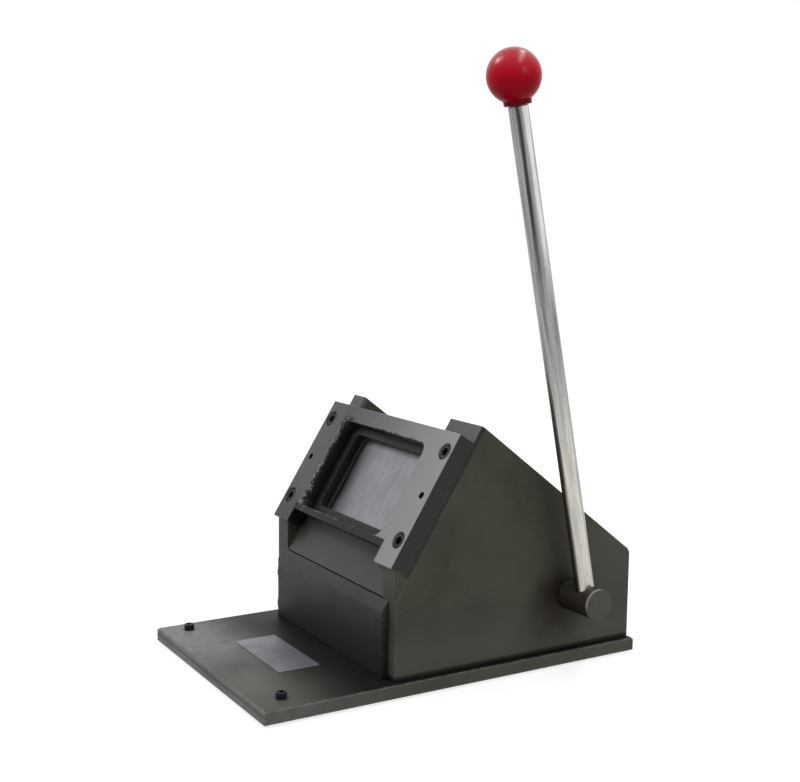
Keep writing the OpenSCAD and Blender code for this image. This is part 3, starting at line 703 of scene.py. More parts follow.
@dataclass(frozen=True)
class PlatedRod(Finish):
    """Zinc-plated drawn bar with drawn streaks, dull above and painted brighter and yellower towards its
    foot as a reflection.

    A painted dark reflection and a painted highlight run along it, each at its own turn round the rod's
    axis, in radians, and its flanks carry painted shade.
    """

    bright: Colour = srgb(244, 244, 244)
    plain: Colour = srgb(150, 153, 153)
    dark: Colour = srgb(80, 82, 82)
    warm: Colour = srgb(202, 198, 188)
    # The next three lines are painted light: a dark reflection's colour and turn, and a highlight's turn,
    # as bands round the rod.
    grooved: Colour = srgb(40, 40, 42)
    groove: float = -0.78
    ridge: float = 0.16

    def build(self, graph: SurfaceGraph) -> bpy.types.Material:
        """Streaks that run along the rod's own axis, with painted reflections, a painted highlight and
        painted shade.
        """
        x, side, along = LEVER.wires(graph)
        turn = graph.math("ARCTAN2", side, x)
        wrap = graph.join(graph.math("COSINE", turn), graph.math("SINE", turn), along * 6.0)
        streak = graph.noise(2.2, detail=4, rough=0.6, vector=wrap)
        drawn = graph.noise(5, detail=4, rough=0.65, vector=wrap)
        flake = graph.noise(900, (1, 1, 0.45), 4, 0.7)
        wander = turn + (streak - 0.5) * 0.5
        upper = graph.rise(along, 170 * MM, 250 * MM)
        lower = graph.rise(along, 190 * MM, 80 * MM)
        colour = graph.blend(graph.rise(streak, 0.42, 0.68) * 0.5, self.plain, self.dark)
        # Painted reflection: the lower rod is painted brighter and yellower.
        colour = graph.blend(lower * 0.85, colour, self.warm)
        # Painted dark reflection: a dark band along the upper rod.
        groove = graph.rise(abs(wander - self.groove), 0.3, 0.08) * upper
        colour = graph.blend(groove * 0.9, colour, self.grooved)
        # Painted highlight: a bright band along the rod.
        ridge = graph.rise(abs(wander - self.ridge), 0.5, 0.15) * (upper * 0.8 + lower * 0.2)
        colour = graph.blend(ridge, colour, self.bright)
        # Painted shade: darker bands on the rod's flanks, one along its lower part and one near its foot.
        left = graph.rise(wander, -1.15, -1.5) * graph.rise(along, 220 * MM, 120 * MM)
        right = graph.rise(wander, 0.15, 0.6) * lower
        colour = graph.blend((left * 0.6).most(right * 0.42), colour, self.dark)
        grain = graph.rise(flake, 0.36, 0.64, 0.93, 1.03) * graph.rise(drawn, 0.34, 0.66, 0.76, 1.08)
        return graph.finish(
            Base_Color=graph.shade(colour, grain), Roughness=graph.rise(streak, 0.35, 0.7, 0.24, 0.38),
            Metallic=1.0, Normal=graph.bump(flake, 0.02 * MM, 0.4))


@dataclass(frozen=True)
class GlossBall(Finish):
    """Glossy red phenolic with faint waves from the mould and a few scuffs, most polished on its top.

    Its start is where the boss meets the ball, measured along the lever.
    """

    colour: Colour = srgb(184, 4, 34)
    deep: Colour = srgb(160, 2, 22)
    low: Colour = srgb(112, 6, 20)
    boss: Colour = srgb(70, 4, 14)
    start: float = 313 * MM

    def build(self, graph: SurfaceGraph) -> bpy.types.Material:
        """A deep red, with painted shade that darkens the lower ball and more round the boss."""
        waves = graph.noise(45, detail=0)
        scuff = graph.rise(graph.noise(260, (1, 1, 3), 4, 0.7), 0.62, 0.74)
        above = LEVER.wires(graph)[2] - self.start
        colour = graph.blend(graph.rise(waves, 0.3, 0.75), self.colour, self.deep)
        # Painted shade: the lower ball is darker.
        colour = graph.blend(graph.rise(above, *mm(18, 4)) * 0.5, colour, self.low)
        # Painted shade: the boss under the ball is darker still.
        colour = graph.blend(graph.rise(above, *mm(1.2, 0.4)) * 0.7, colour, self.boss)
        polish = graph.rise(above + (waves - 0.5) * (20 * MM), *mm(12, 26))
        return graph.finish(
            Base_Color=colour, Roughness=0.24 + scuff * 0.16, Metallic=0.0, IOR=1.15,
            Specular_IOR_Level=0.5, Coat_Weight=polish * 0.65, Coat_Roughness=0.27, Coat_IOR=1.5,
            Normal=graph.bump(waves, 0.1 * MM, 0.1))


@dataclass(frozen=True)
class Rubber(Finish):
    """Matt black rubber with a fine pebble."""

    colour: Colour = srgb(34, 34, 36)
    dusty: Colour = srgb(86, 84, 80)

    def build(self, graph: SurfaceGraph) -> bpy.types.Material:
        """Pebbles and dust."""
        pebble = graph.noise(1500, detail=1)
        dust = graph.noise(60, detail=4)
        colour = graph.blend(graph.rise(dust, 0.45, 0.8) * 0.3, self.colour, self.dusty)
        return graph.finish(
            Base_Color=colour, Roughness=0.85, Metallic=0.0, Normal=graph.bump(pebble, 0.2 * MM, 0.6))


@dataclass(frozen=True)
class LabelMetal(Finish):
    """Bare satin aluminium, brushed along its length and dulled by handling."""

    colour: Colour = srgb(130, 130, 136)
    deep: Colour = srgb(112, 112, 118)

    def build(self, graph: SurfaceGraph) -> bpy.types.Material:
        """Brush marks and a slow dulling."""
        brush = graph.noise(120, (1, 40, 1), 3, 0.7)
        dull = graph.noise(40, detail=3)
        colour = graph.blend(graph.rise(dull, 0.35, 0.7), self.colour, self.deep)
        colour = graph.shade(colour, graph.rise(brush, 0.3, 0.7, 0.93, 1.05))
        return graph.finish(
            Base_Color=colour, Roughness=graph.rise(dull, 0.3, 0.7, 0.42, 0.52), Metallic=0.8,
            Normal=graph.bump(brush, 0.02 * MM, 0.5))


# ---------------------------------------------------------------- mesh tools


def shown(name: str, mesh: bpy.types.Mesh) -> bpy.types.Object:
    """Puts a mesh in the scene as an object at the origin.

    Args:
        name: The piece's name.
        mesh: Its mesh, in the press's frame.

    Returns:
        The object.
    """
    made = bpy.data.objects.new(name, mesh)
    bpy.context.scene.collection.objects.link(made)
    return made


def settle(piece: bpy.types.Object) -> bpy.types.Object:
    """Turns a piece's modifiers into plain mesh.

    Args:
        piece: The object with live modifiers.

    Returns:
        The same object without them.
    """
    bpy.context.view_layer.update()
    graph = bpy.context.evaluated_depsgraph_get()
    mesh = bpy.data.meshes.new_from_object(
        piece.evaluated_get(graph), preserve_all_data_layers=True, depsgraph=graph)
    old = piece.data
    piece.modifiers.clear()
    piece.data = mesh
    bpy.data.meshes.remove(old)
    return piece


def smooth(piece: bpy.types.Object, angle: float = 34) -> bpy.types.Object:
    """Smooths the shading of a piece, but keeps its creases and its flat faces flat.

    Args:
        piece: The object.
        angle: The crease angle in degrees.

    Returns:
        The same object.
    """
    piece.data.shade_smooth()
    piece.data.set_sharp_from_angle(angle=math.radians(angle))
    weighted = piece.modifiers.new("flat", "WEIGHTED_NORMAL")
    weighted.keep_sharp = True
    return settle(piece)


def sound_copy(node: str) -> bmesh.types.BMesh:
    """A merged copy of a CAD node's mesh, with its flat faces whole again.

    Args:
        node: The CAD node.

    Returns:
        The copy.
    """
    made = bmesh.new()
    made.from_mesh(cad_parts[node].data)
    bmesh.ops.remove_doubles(made, verts=made.verts, dist=2e-6)
    bmesh.ops.dissolve_limit(made, angle_limit=math.radians(0.4), verts=made.verts, edges=made.edges)
    return made


def creases(mesh: bmesh.types.BMesh, angle: float, along: Vector | None = None,
            least: float = 0) -> list[bmesh.types.BMEdge]:
    """The outer edges of a mesh that can be rounded.

    Args:
        mesh: The mesh.
        angle: The smallest angle between the two faces in degrees.
        along: Only edges in this direction.
        least: Only edges between faces of at least this area.

    Returns:
        The edges.
    """
    found = []
    for edge in mesh.edges:
        if len(edge.link_faces) != 2 or edge.calc_face_angle(0) < math.radians(angle):
            continue
        if along and abs((edge.verts[1].co - edge.verts[0].co).normalized().dot(along)) < 0.999:
            continue
        if least and min(face.calc_area() for face in edge.link_faces) < least:
            continue
        found.append(edge)
    return found


def lathe(name: str, outline: Sequence[tuple[float, float]], place: Matrix,
          sides: int) -> bpy.types.Object:
    """A turned piece, from an outline of radius and height pairs that starts and ends on its axis.

    Args:
        name: The piece's name.
        outline: The pairs in metres.
        place: Where the axis stands.
        sides: How many faces go round.

    Returns:
        The piece.
    """
    mesh = bmesh.new()
    rings: list[list[bmesh.types.BMVert]] = []
    for radius, height in outline:
        count = 1 if radius < 1e-7 else sides
        rings.append([])
        for i in range(count):
            turn = math.tau * i / sides
            rings[-1].append(mesh.verts.new((radius * math.cos(turn), radius * math.sin(turn), height)))
    for low, high in zip(rings, rings[1:]):
        for i in range(sides):
            j = (i + 1) % sides
            corners = [low[i % len(low)], low[j % len(low)], high[j % len(high)], high[i % len(high)]]
            mesh.faces.new(list(dict.fromkeys(corners)))
    bmesh.ops.recalc_face_normals(mesh, faces=mesh.faces)
    mesh.transform(place)
    made = bpy.data.meshes.new(name)
    mesh.to_mesh(made)
    mesh.free()
    return shown(name, made)


# ---------------------------------------------------------------- screws and springs


HEXAGON = 1.732  # a hexagon's width over the radius of its corners


def pairs(half: float, backs: Iterable[float], heights: Iterable[float], axis: Vector) -> Seats:
    """Seats in pairs to the left and the right of the press's middle.

    Args:
        half: Half the distance between the two of a pair.
        backs: Their places from front to back.
        heights: Their heights, each of which is used at every place.
        axis: The seats' axis.

    Returns:
        The seats' places and axes.
    """
    return [(Vector((side * half, y, z)), axis) for side in SIDES for y in backs for z in heights]


class ScrewHead(Enum):
    """The heads of the press's screws."""

    CAP = "cap"
    BUTTON = "button"
    FLAT = "flat"


@dataclass
class Repeated:
    """Something small that a geometry tree makes once and puts on each of its seats."""

    def tree(self) -> SolidGraph:
        """Fills the tree."""
        raise NotImplementedError

    def sizes(self) -> dict[str, float]:
        """The tree's inputs by name."""
        return {item.name: getattr(self, item.name) for item in fields(self) if item.type == "float"}

    def inputs(self, graph: SolidGraph) -> list[Wire]:
        """Adds an input for each size, and the last one for the finish."""
        return [*map(graph.size, self.sizes()), graph.size("finish", "NodeSocketMaterial")]


@dataclass
class Screws(Repeated):
    """Like screws, with their thread, length, head, socket width and how far the socket is sunk."""

    head: ScrewHead
    thread: float
    length: float
    head_width: float
    head_height: float
    socket: float
    sunk: float

    def head_shape(self, graph: SolidGraph, width: Wire, height: Wire) -> Wire:
        """The head, from its seat at zero up.

        Args:
            graph: The tree.
            width: The head's diameter.
            height: Its height.

        Returns:
            The solid.
        """
        rings = {ScrewHead.CAP: 3, ScrewHead.BUTTON: 5, ScrewHead.FLAT: 2}[self.head]
        solid = graph.turned(48, width / 2.0, height, rings)
        spot = graph.get("GeometryNodeInputPosition")
        x, y, z = graph.split(spot)
        t = z / height + 0.5
        if self.head is ScrewHead.CAP:
            ease = width * 0.045
            lift = ease * (t * 3.0).clamp() + (height - ease * 2.0) * (t * 3.0 - 1.0).clamp()
            lift = lift + ease * (t * 3.0 - 2.0).clamp()
            ends = (1.0 - t * 3.0).clamp() + (t * 3.0 - 2.0).clamp()
            knurl = (graph.get("GeometryNodeInputIndex") % 2.0) * (1.0 - ends)
            share = 1.0 - ends * 0.09 - knurl * 0.045
        elif self.head is ScrewHead.BUTTON:
            lift = height * t
            share = graph.math("SQRT", 1.0 - (t * 0.84) ** 2.0)
        else:
            lift = height * (t - 1.0) - 0.02 * MM
            share = (t * 1.9).clamp() * 0.5 + 0.5
        return graph.reshaped(solid, graph.join(x * share, y * share, lift))

    def tree(self) -> SolidGraph:
        """The tree that makes one screw and repeats it on every seat."""
        graph = SolidGraph(f"{self.head.value}_screws")
        thread, length, width, height, socket, sunk, finish = self.inputs(graph)
        head = self.head_shape(graph, width, height)
        crown = 0.0 if self.head is ScrewHead.FLAT else height
        key = graph.moved(graph.turned(6, socket / HEXAGON, sunk * 2.0), 0.0, 0.0, crown)
        shank = graph.moved(graph.turned(24, thread / 2.0, length), 0.0, 0.0, length * -0.5 - 0.05 * MM)
        graph.close(graph.together(graph.cut(head, key), shank), finish)
        return graph


@dataclass
class Springs(Repeated):
    """Compression springs, each wound from its seat along its axis."""

    wire: float = 1.8 * MM
    middle: float = 15 * MM
    length: float = 15.3 * MM
    turns: float = 5

    def tree(self) -> SolidGraph:
        """The tree that winds one spring and repeats it on every seat."""
        graph = SolidGraph("springs")
        wire, middle, length, turns, finish = self.inputs(graph)
        coil = graph.get("GeometryNodeCurveSpiral", None, {
            "Resolution": 28, "Rotations": turns, "Start Radius": middle / 2.0,
            "End Radius": middle / 2.0, "Height": length})
        section = graph.get("GeometryNodeCurvePrimitiveCircle", None, {
            "Resolution": 10, "Radius": wire / 2.0})
        solid = graph.get("GeometryNodeCurveToMesh", None, {
            "Curve": coil, "Profile Curve": section, "Fill Caps": True})
        graph.close(solid, finish)
        return graph


# ---------------------------------------------------------------- sub-assemblies


@dataclass
class SubAssembly:
    """A group of pieces that ride on one body."""

    body: str

    def keep(self, finish: Finish, *nodes: str) -> None:
        """Gives CAD nodes a finish and leaves their shapes as they are.

        Args:
            finish: The finish.
            *nodes: The nodes.
        """
        for node in nodes:
            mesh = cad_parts[node].data
            mesh.materials.clear()
            mesh.materials.append(finish.material())
            log.info("%s keeps its CAD shape, finish %s", node, finish.name)

    def stand_for(self, piece: bpy.types.Object, finish: Finish, *nodes: str) -> bpy.types.Object:
        """Lets a finished piece stand for its CAD nodes.

        Args:
            piece: The piece.
            finish: Its finish.
            *nodes: The nodes it stands for.

        Returns:
            The piece.
        """
        piece.data.materials.clear()
        piece.data.materials.append(finish.material())
        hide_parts(*nodes)
        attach(piece, self.body)
        log.info("%s: %d faces, finish %s, on %s", piece.name, len(piece.data.polygons), finish.name,
                 self.body)
        return piece

    def refine(self, node: str, finish: Finish, ease: float, bend: float = 0,
               bend_along: Vector | None = None, least: float = 0,
               ragged: Callable[[bmesh.types.BMesh], None] | None = None) -> bpy.types.Object:
        """Replaces a CAD node by a copy with eased edges.

        Args:
            node: The node.
            finish: The copy's finish.
            ease: The width of the eased edges.
            bend: A larger rounding that is made first.
            bend_along: The direction of the edges that get it.
            least: The smallest face beside such an edge.
            ragged: A change made to the mesh before its edges are eased.

        Returns:
            The piece.
        """
        mesh = sound_copy(node)
        if bend:
            edges = creases(mesh, 15, bend_along, least)
            bmesh.ops.bevel(mesh, geom=edges, offset=bend, segments=5, profile=0.5, affect="EDGES")
        if ragged:
            ragged(mesh)
        edges = creases(mesh, 28)
        bmesh.ops.bevel(mesh, geom=edges, offset=ease, segments=2, profile=0.5, affect="EDGES")
        made = bpy.data.meshes.new(f"{node}_fine")
        mesh.to_mesh(made)
        mesh.free()
        return self.stand_for(smooth(shown(f"{node}_fine", made), 40), finish, node)

    def repeat(self, node: str, kind: Repeated, seats: Seats, finish: Finish) -> bpy.types.Object:
        """Puts screws or springs on their seats.

        Args:
            node: The CAD node that they stand for.
            kind: What is repeated.
            seats: The seats' places and axes.
            finish: The finish.

        Returns:
            The piece.
        """
        mesh = bpy.data.meshes.new(f"{node}_seats")
        mesh.from_pydata([tuple(place) for place, _ in seats], [], [])
        axis = mesh.attributes.new("axis", "FLOAT_VECTOR", "POINT")
        for item, (_, turn) in zip(axis.data, seats):
            item.vector = turn
        piece = shown(f"{node}_fine", mesh)
        graph = kind.tree()
        modifier = piece.modifiers.new("made", "NODES")
        modifier.node_group = graph.tree
        for name, value in kind.sizes().items():
            modifier[graph.keys[name]] = value
        modifier[graph.keys["finish"]] = finish.material()
        settle(piece)
        smooth(piece, 32)
        return self.stand_for(piece, finish, node)


@dataclass
class Base(SubAssembly):
    """The base plate with its mat, bench screws and bare label plate.

    The front face lies ahead of the place called ahead, and a dark line runs along it at the height called
    line.
    """

    body: str = "frame"
    screw: tuple[float, ...] = mm(71.2, -117.2, 10)
    ahead: float = -133.2 * MM
    line: float = 6.4 * MM
    shaded: Colour = srgb(8, 7, 7)
    lined: Colour = srgb(52, 52, 50)
    pale: Colour = srgb(127, 127, 130)
    dull: Colour = srgb(106, 106, 107)

    def tone(self, graph: SurfaceGraph, colour: Wire) -> Wire:
        """Painted shadow beside the housing; painted light makes the front of the top, most on its left,
        and the front and side faces paler and greyer.

        Args:
            graph: The material's tree.
            colour: The paint so far.

        Returns:
            The toned paint.
        """
        x, y, z = graph.split(graph.place)
        drift = graph.drift(14, 40 * MM)
        top = graph.rise(z, *mm(9.2, 9.7))
        # Painted light: the front of the top is paler, most on its left.
        front = graph.rise(y + drift, *mm(-78, -124)) * graph.rise(x + drift, *mm(64, -95), 0.05, 1.0)
        ahead = graph.rise(y, self.ahead, self.ahead - 0.8 * MM)
        mottle = graph.noise(150, detail=4, rough=0.7)
        pale = graph.blend(graph.rise(mottle, 0.3, 0.7), self.pale, self.dull)
        # Painted shadow: the top darkens beside the housing.
        near = graph.rise(y + drift, *mm(-130, -60)) * top
        colour = graph.blend(near, colour, self.shaded)
        # Painted light: the front and side faces are paler towards the front.
        aside = graph.rise(y + drift, *mm(-30, -120)) * graph.rise(z, *mm(9.6, 9.1))
        colour = graph.blend((front * top).most(ahead * 0.46).most(aside * 0.34), colour, pale)
        line = graph.rise(abs(z + drift * 0.03 - self.line), *mm(1.5, 0.5)) * ahead
        return graph.blend(line * 0.8, colour, self.lined)

    def build(self) -> None:
        """Makes the base's pieces."""
        paint = WornPaint(
            "base paint", "base_paint", srgb(78, 77, 70), srgb(64, 62, 56), srgb(126, 125, 117),
            edges=box_edges(*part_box("base_plate")), wear=1.2 * MM, ragged=1.8, least=0.45, tint=self.tone)
        label = LabelMetal("label metal", "label_metal")
        self.keep(Rubber("rubber", "mat"), "base_mat")
        self.refine("base_plate", paint, 0.3 * MM)
        self.refine("label_plate", label, 0.12 * MM, 1.2 * MM, UP)
        x, y, z = self.screw
        cap = Screws(ScrewHead.CAP, *mm(4, 8, 6.6, 4, 3.3, 2.4))
        self.repeat("bench_screws", cap, pairs(x, [y], [z], UP), BLACK)
        flat = Screws(ScrewHead.FLAT, *mm(6, 22, 12, 3, 3.2, 1.8))
        seats = pairs(72.8 * MM, mm(-27, 43.15, 113.3), [1.5 * MM], -UP)
        self.repeat("under_base_screws", flat, seats, BLACK)


@dataclass
class Housing(SubAssembly):
    """Side plates, front panel, tie bars and the bent rear cover.

    The stain is the middle of the dirt and painted shadow on the side plates, a little before and below the
    shaft.
    """

    body: str = "frame"
    stain: tuple[float, ...] = mm(74.7, 41.6)
    brown: Colour = srgb(27, 16, 6)
    dusty: Colour = srgb(78, 75, 69)
    seam: Colour = srgb(16, 15, 14)
    shade: Colour = srgb(20, 20, 20)

    def tone(self, graph: SurfaceGraph, colour: Wire) -> Wire:
        """Brown dirt with painted shadow round the shaft, dust lower down and at the rear, and painted
        shade along the foot.

        Args:
            graph: The material's tree.
            colour: The paint so far.

        Returns:
            The toned paint.
        """
        _, y, z = graph.split(graph.place)
        gap = graph.span(y - self.stain[0], z - self.stain[1])
        cloud = graph.noise(45, detail=4, rough=0.6) * (20 * MM)
        # Painted shadow of the shaft's end with brown dirt: a dark ring a little before and below the
        # shaft.
        ring = graph.rise(gap + cloud, *mm(42, 18))
        stained = graph.blend(ring * 0.92, colour, self.brown)
        foot = graph.rise(z + cloud * 0.3, *mm(60, 20)) * graph.rise(gap, *mm(18, 44)) * 0.8
        rear = graph.rise(y + cloud, *mm(100, 126)) * 0.45
        stained = graph.blend(foot.most(rear), stained, self.dusty)
        # Painted shade: the side plates darken along their bottom where they meet the base.
        return graph.blend(graph.rise(z, *mm(13.2, 11.6)) * 0.9, stained, self.seam)

    def shaded(self, graph: SurfaceGraph, colour: Wire) -> Wire:
        """The front panel's painted shadow, darker towards the base.

        Args:
            graph: The material's tree.
            colour: The paint so far.

        Returns:
            The toned paint.
        """
        z = graph.split(graph.place)[2]
        cloud = graph.noise(30, detail=3) * (30 * MM)
        # Painted shadow, darkest near the base.
        return graph.blend(graph.rise(z + cloud, *mm(98, 40)) * 0.97, colour, self.shade)

    def build(self) -> None:
        """Makes the housing's pieces."""
        paint = WornPaint("housing paint", "side_paint", worn=srgb(92, 91, 84), wear=0.6 * MM,
                          edges=SideOutline().distance, tint=self.tone)
        panel = WornPaint("panel paint", "die_paint", srgb(74, 74, 73), srgb(66, 66, 65), tint=self.shaded)
        plain = WornPaint("plain housing paint", "side_paint")
        self.refine("left_side_plate", paint, 0.45 * MM)
        self.refine("right_side_plate", paint, 0.45 * MM)
        self.refine("front_panel", panel, 0.6 * MM)
        self.refine("rear_cover", plain, 0.25 * MM, 2.2 * MM, ACROSS, 600 * MM * MM)
        self.keep(plain, "upper_tie_bar", "rear_tie_bar")
        flat = Screws(ScrewHead.FLAT, *mm(4, 14, 8, 2, 2.2, 1.2))
        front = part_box("front_panel")[0].y
        low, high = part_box("front_panel_screws")
        heights = (low.z + flat.head_width / 2, high.z - flat.head_width / 2)
        self.repeat("front_panel_screws", flat, pairs(68.65 * MM, [front], heights, -BACK), panel)
        button = Screws(ScrewHead.BUTTON, *mm(4, 9, 7.2, 2.2, 2.4, 1.5))
        low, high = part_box("cover_screws")
        seats = []
        for x in mm(-45.71, 0, 45.71):
            top = (x, low.y + button.head_width / 2, high.z - button.head_height)
            rear = (x, high.y - button.head_height, low.z + button.head_width / 2)
            seats += [(Vector(top), UP), (Vector(rear), BACK)]
        self.repeat("cover_screws", button, seats, BLACK)


@dataclass
class DieSet(SubAssembly):
    """The die plate with its window, the ring, the guide bars and the plate behind them.

    The spot is a large chip beside the window's top left corner, and the heap a group of bright flecks
    beside its lower left one. Both are given as x and s on the slope.
    """

    body: str = "frame"
    window: Window = field(default_factory=Window)
    half: float = 80.5 * MM
    bar_half: float = 80.3 * MM
    screw_x: float = 73 * MM
    screw_s: tuple[float, ...] = mm(13.1, 73.2)
    pin_s: float = 43.1 * MM
    spring_x: float = 54.05 * MM
    spot: tuple[float, ...] = mm(-51.5, 12.5)
    heap: tuple[float, ...] = mm(-55, 72.5)
    # The next colour is painted sheen on the die face's right side.
    rubbed: Colour = srgb(138, 138, 139)
    dull: Colour = srgb(58, 58, 57)
    mouth: Colour = srgb(9, 9, 9)
    flank: Colour = srgb(42, 42, 39)
    black: Colour = srgb(14, 13, 12)
    bright: Colour = srgb(146, 143, 137)
    bar_flank: Colour = srgb(36, 36, 34)

    def soot(self, graph: SurfaceGraph, colour: Wire) -> Wire:
        """Paints sheen and shade on the die face and blackens the window's walls, with a ragged fringe and
        bright flecks on the left and top rims.

        The sheen lightens the face towards the right; painted shade darkens the bar below the window, the
        outer sides, the dowel holes and the walls further; the lower left corner is darker.

        Args:
            graph: The material's tree.
            colour: The face's colour so far.

        Returns:
            The colour with its blackening, sheen and shade.
        """
        x, s, depth = SLOPE.wires(graph)
        out = self.window.outside(graph)
        ragged = graph.noise(100, detail=5, rough=0.64) - 0.5
        slow = graph.drift(40, 30 * MM)
        left = graph.rise(x, *mm(-40, -47))
        top = graph.rise(s, *mm(16, 12.5)) * graph.rise(x, *mm(52, -20), 0.35, 1.0)
        # Painted sheen: the face is painted lighter towards the right.
        colour = graph.blend(graph.rise(x + slow, *mm(-52, 85)), colour, self.rubbed)
        corner = graph.rise(s + slow, *mm(60, 90)) * graph.rise(x, *mm(-10, -70))
        colour = graph.blend(corner * 0.7, colour, self.dull)
        # Painted shadow: the bar below the window is painted nearly black.
        mouth = graph.rise(s, *mm(75.6, 76.4)) * graph.rise(abs(x), *mm(60.4, 59.2))
        colour = graph.blend(mouth, colour, self.mouth)
        # Painted shade: the plate's outer sides are darker.
        colour = graph.blend(graph.rise(abs(x), *mm(80.2, 80.45)), colour, self.flank)
        # Blackened window walls, darkened further as painted shade in the recess.
        wall = graph.rise(depth, *mm(0.1, 0.5)) * graph.rise(out, *mm(1.6, 0.9))
        border = out + ragged * (36 * MM)
        fringe = graph.rise(border, *mm(4.6, 3.6)) * left
        fringe = fringe.most(graph.rise(out + ragged * (9 * MM), *mm(0.6, 0.1)) * top)
        spot = graph.span(x - self.spot[0], s - self.spot[1]) + ragged * (6 * MM)
        pin = graph.span(abs(x) - self.screw_x, s - self.pin_s)
        # Painted shade in the dowel holes.
        soot = (wall * left.most(top).most(0.6)).most(graph.rise(pin, *mm(2.5, 2.1)))
        soot = soot.most(fringe * 0.95).most(graph.rise(spot, *mm(6.8, 3.6)) * 0.9)
        colour = graph.blend(soot.clamp(), colour, self.black)
        blotch = graph.noise(300, detail=3, rough=0.55)
        fleck = graph.rise(blotch, 0.49, 0.58) * graph.rise(abs(border - 4.8 * MM), *mm(1.8, 0.6)) * left
        fleck = fleck * graph.rise(out, *mm(6.2, 4.8))
        heap = graph.span(x - self.heap[0], s - self.heap[1])
        fleck = fleck.most(graph.rise(blotch, 0.46, 0.56) * graph.rise(heap, *mm(5, 2.5)) * 0.9)
        fleck = fleck * graph.rise(depth, *mm(3, 1))
        return graph.blend(fleck.clamp() * 0.6, colour, self.bright)

    def sides(self, graph: SurfaceGraph, colour: Wire) -> Wire:
        """Paints the outer side of a guide bar like the housing, a little darker, as painted shade.

        Args:
            graph: The material's tree.
            colour: The paint so far.

        Returns:
            The toned paint.
        """
        x = graph.split(graph.place)[0]
        # Painted shade on the bar's outer side.
        return graph.blend(graph.rise(abs(x), *mm(79.9, 80.2)), colour, self.bar_flank)

    def chip(self, mesh: bmesh.types.BMesh) -> None:
        """Chips the window's front rim, most of all on its left.

        Args:
            mesh: The die plate's mesh.
        """
        half = self.window.width / 2
        reach = self.window.length / 2

        def on_rim(vertex: bmesh.types.BMVert) -> bool:
            """Whether a point lies on the window's front rim."""
            local = vertex.co - SLOPE.top
            s = -local.dot(SLOPE.up)
            inside = abs(vertex.co.x) < half + 0.1 * MM and abs(s - self.window.middle) < reach + 0.1 * MM
            return inside and abs(local.dot(SLOPE.out)) < 0.01 * MM

        level = SLOPE.point(0, 0, 2.2 * MM)
        bmesh.ops.bisect_plane(mesh, geom=mesh.verts[:] + mesh.edges[:] + mesh.faces[:], dist=1e-6,
                               plane_co=level, plane_no=SLOPE.out)
        rim = [edge for edge in mesh.edges if all(on_rim(v) for v in edge.verts)]
        for edge in rim:
            cuts = int(edge.calc_length() / (1.0 * MM))
            if cuts:
                bmesh.ops.subdivide_edges(mesh, edges=[edge], cuts=cuts)
        middle = SLOPE.point(0, self.window.middle, 0)
        for vertex in [v for v in mesh.verts if on_rim(v)]:
            x, s = vertex.co.x, -(vertex.co - SLOPE.top).dot(SLOPE.up)
            left = ramp(-x, *mm(44, 6))
            above = ramp(-s, *mm(-14, 3))
            low = ramp(s, *mm(62, 8))
            # Pairs of beating waves make uneven chips: small ones all round, large ones on the left.
            run = x + s
            fine = abs(math.sin(run * 2050) * math.sin(run * 1290 + 1.1))
            broad = max(0.0, math.sin(run * 830 + 0.4) * math.sin(run * 510 + 0.9) + 0.25)
            amount = 0.08 + fine * (0.6 * left + 0.3 * above) + broad * left * (1.5 + 0.6 * low)
            vertex.co += (vertex.co - middle).normalized() * amount * MM

    def build(self) -> None:
        """Makes the die set's pieces."""
        face = WornPaint(
            "die face", "die_paint", srgb(86, 86, 86), srgb(78, 78, 78), srgb(150, 149, 146), wear=0.5 * MM,
            bare=0.5, tint=self.soot, rough=0.48,
            edges=slope_edges(self.half, 0, SLOPE.length, 0, SLOPE.plate, self.window))
        bar = WornPaint(
            "guide bar paint", "side_paint", srgb(92, 92, 91), srgb(82, 82, 80), srgb(128, 127, 123),
            wear=0.4 * MM, bare=0.35, tint=self.sides,
            edges=slope_edges(self.bar_half, SLOPE.lugs, SLOPE.length, SLOPE.plate, SLOPE.bars))
        track = WornPaint("track face", "side_paint", srgb(72, 72, 71), srgb(66, 66, 65), rough=0.5)
        ring = BlackOxide("blackened ring", "die_steel", srgb(20, 20, 20), srgb(44, 44, 45))
        pin = BlackOxide("dark pin", "machined_steel", srgb(14, 14, 14), srgb(22, 22, 22))
        self.refine("die_plate", face, 0.4 * MM, ragged=self.chip)
        self.refine("die_ring", ring, 0.25 * MM)
        self.refine("left_guide_bar", bar, 0.3 * MM)
        self.refine("right_guide_bar", bar, 0.3 * MM)
        self.refine("punch_guide_plate", track, 0.25 * MM)
        self.refine("die_dowels", pin, 0.4 * MM)
        cap = Screws(ScrewHead.CAP, *mm(6, 34, 9.9, 6, 4.9, 3.6))
        seats = SLOPE.seats(self.screw_x, self.screw_s, 6.5 * MM, SLOPE.out)
        self.repeat("die_cap_screws", cap, seats, BLACK)
        self.keep(GROUND, "guide_posts", "post_washers")
        self.keep(MACHINED, "post_nuts")
        self.wind_springs()

    def wind_springs(self) -> None:
        """Winds the two return springs, which in the press shorten against the guide plate as the ram comes
        forward.
        """
        coil = Springs()
        start, fixed, stroke = mm(43.9, 26.6, 5.5)
        middle = self.window.middle
        wire = Steel("spring wire", "spring_steel", srgb(165, 167, 170), srgb(110, 111, 113))
        seats = SLOPE.seats(self.spring_x, [middle], start - coil.wire / 2, SLOPE.out)
        piece = self.repeat("return_springs", coil, seats, wire)
        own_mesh(piece)


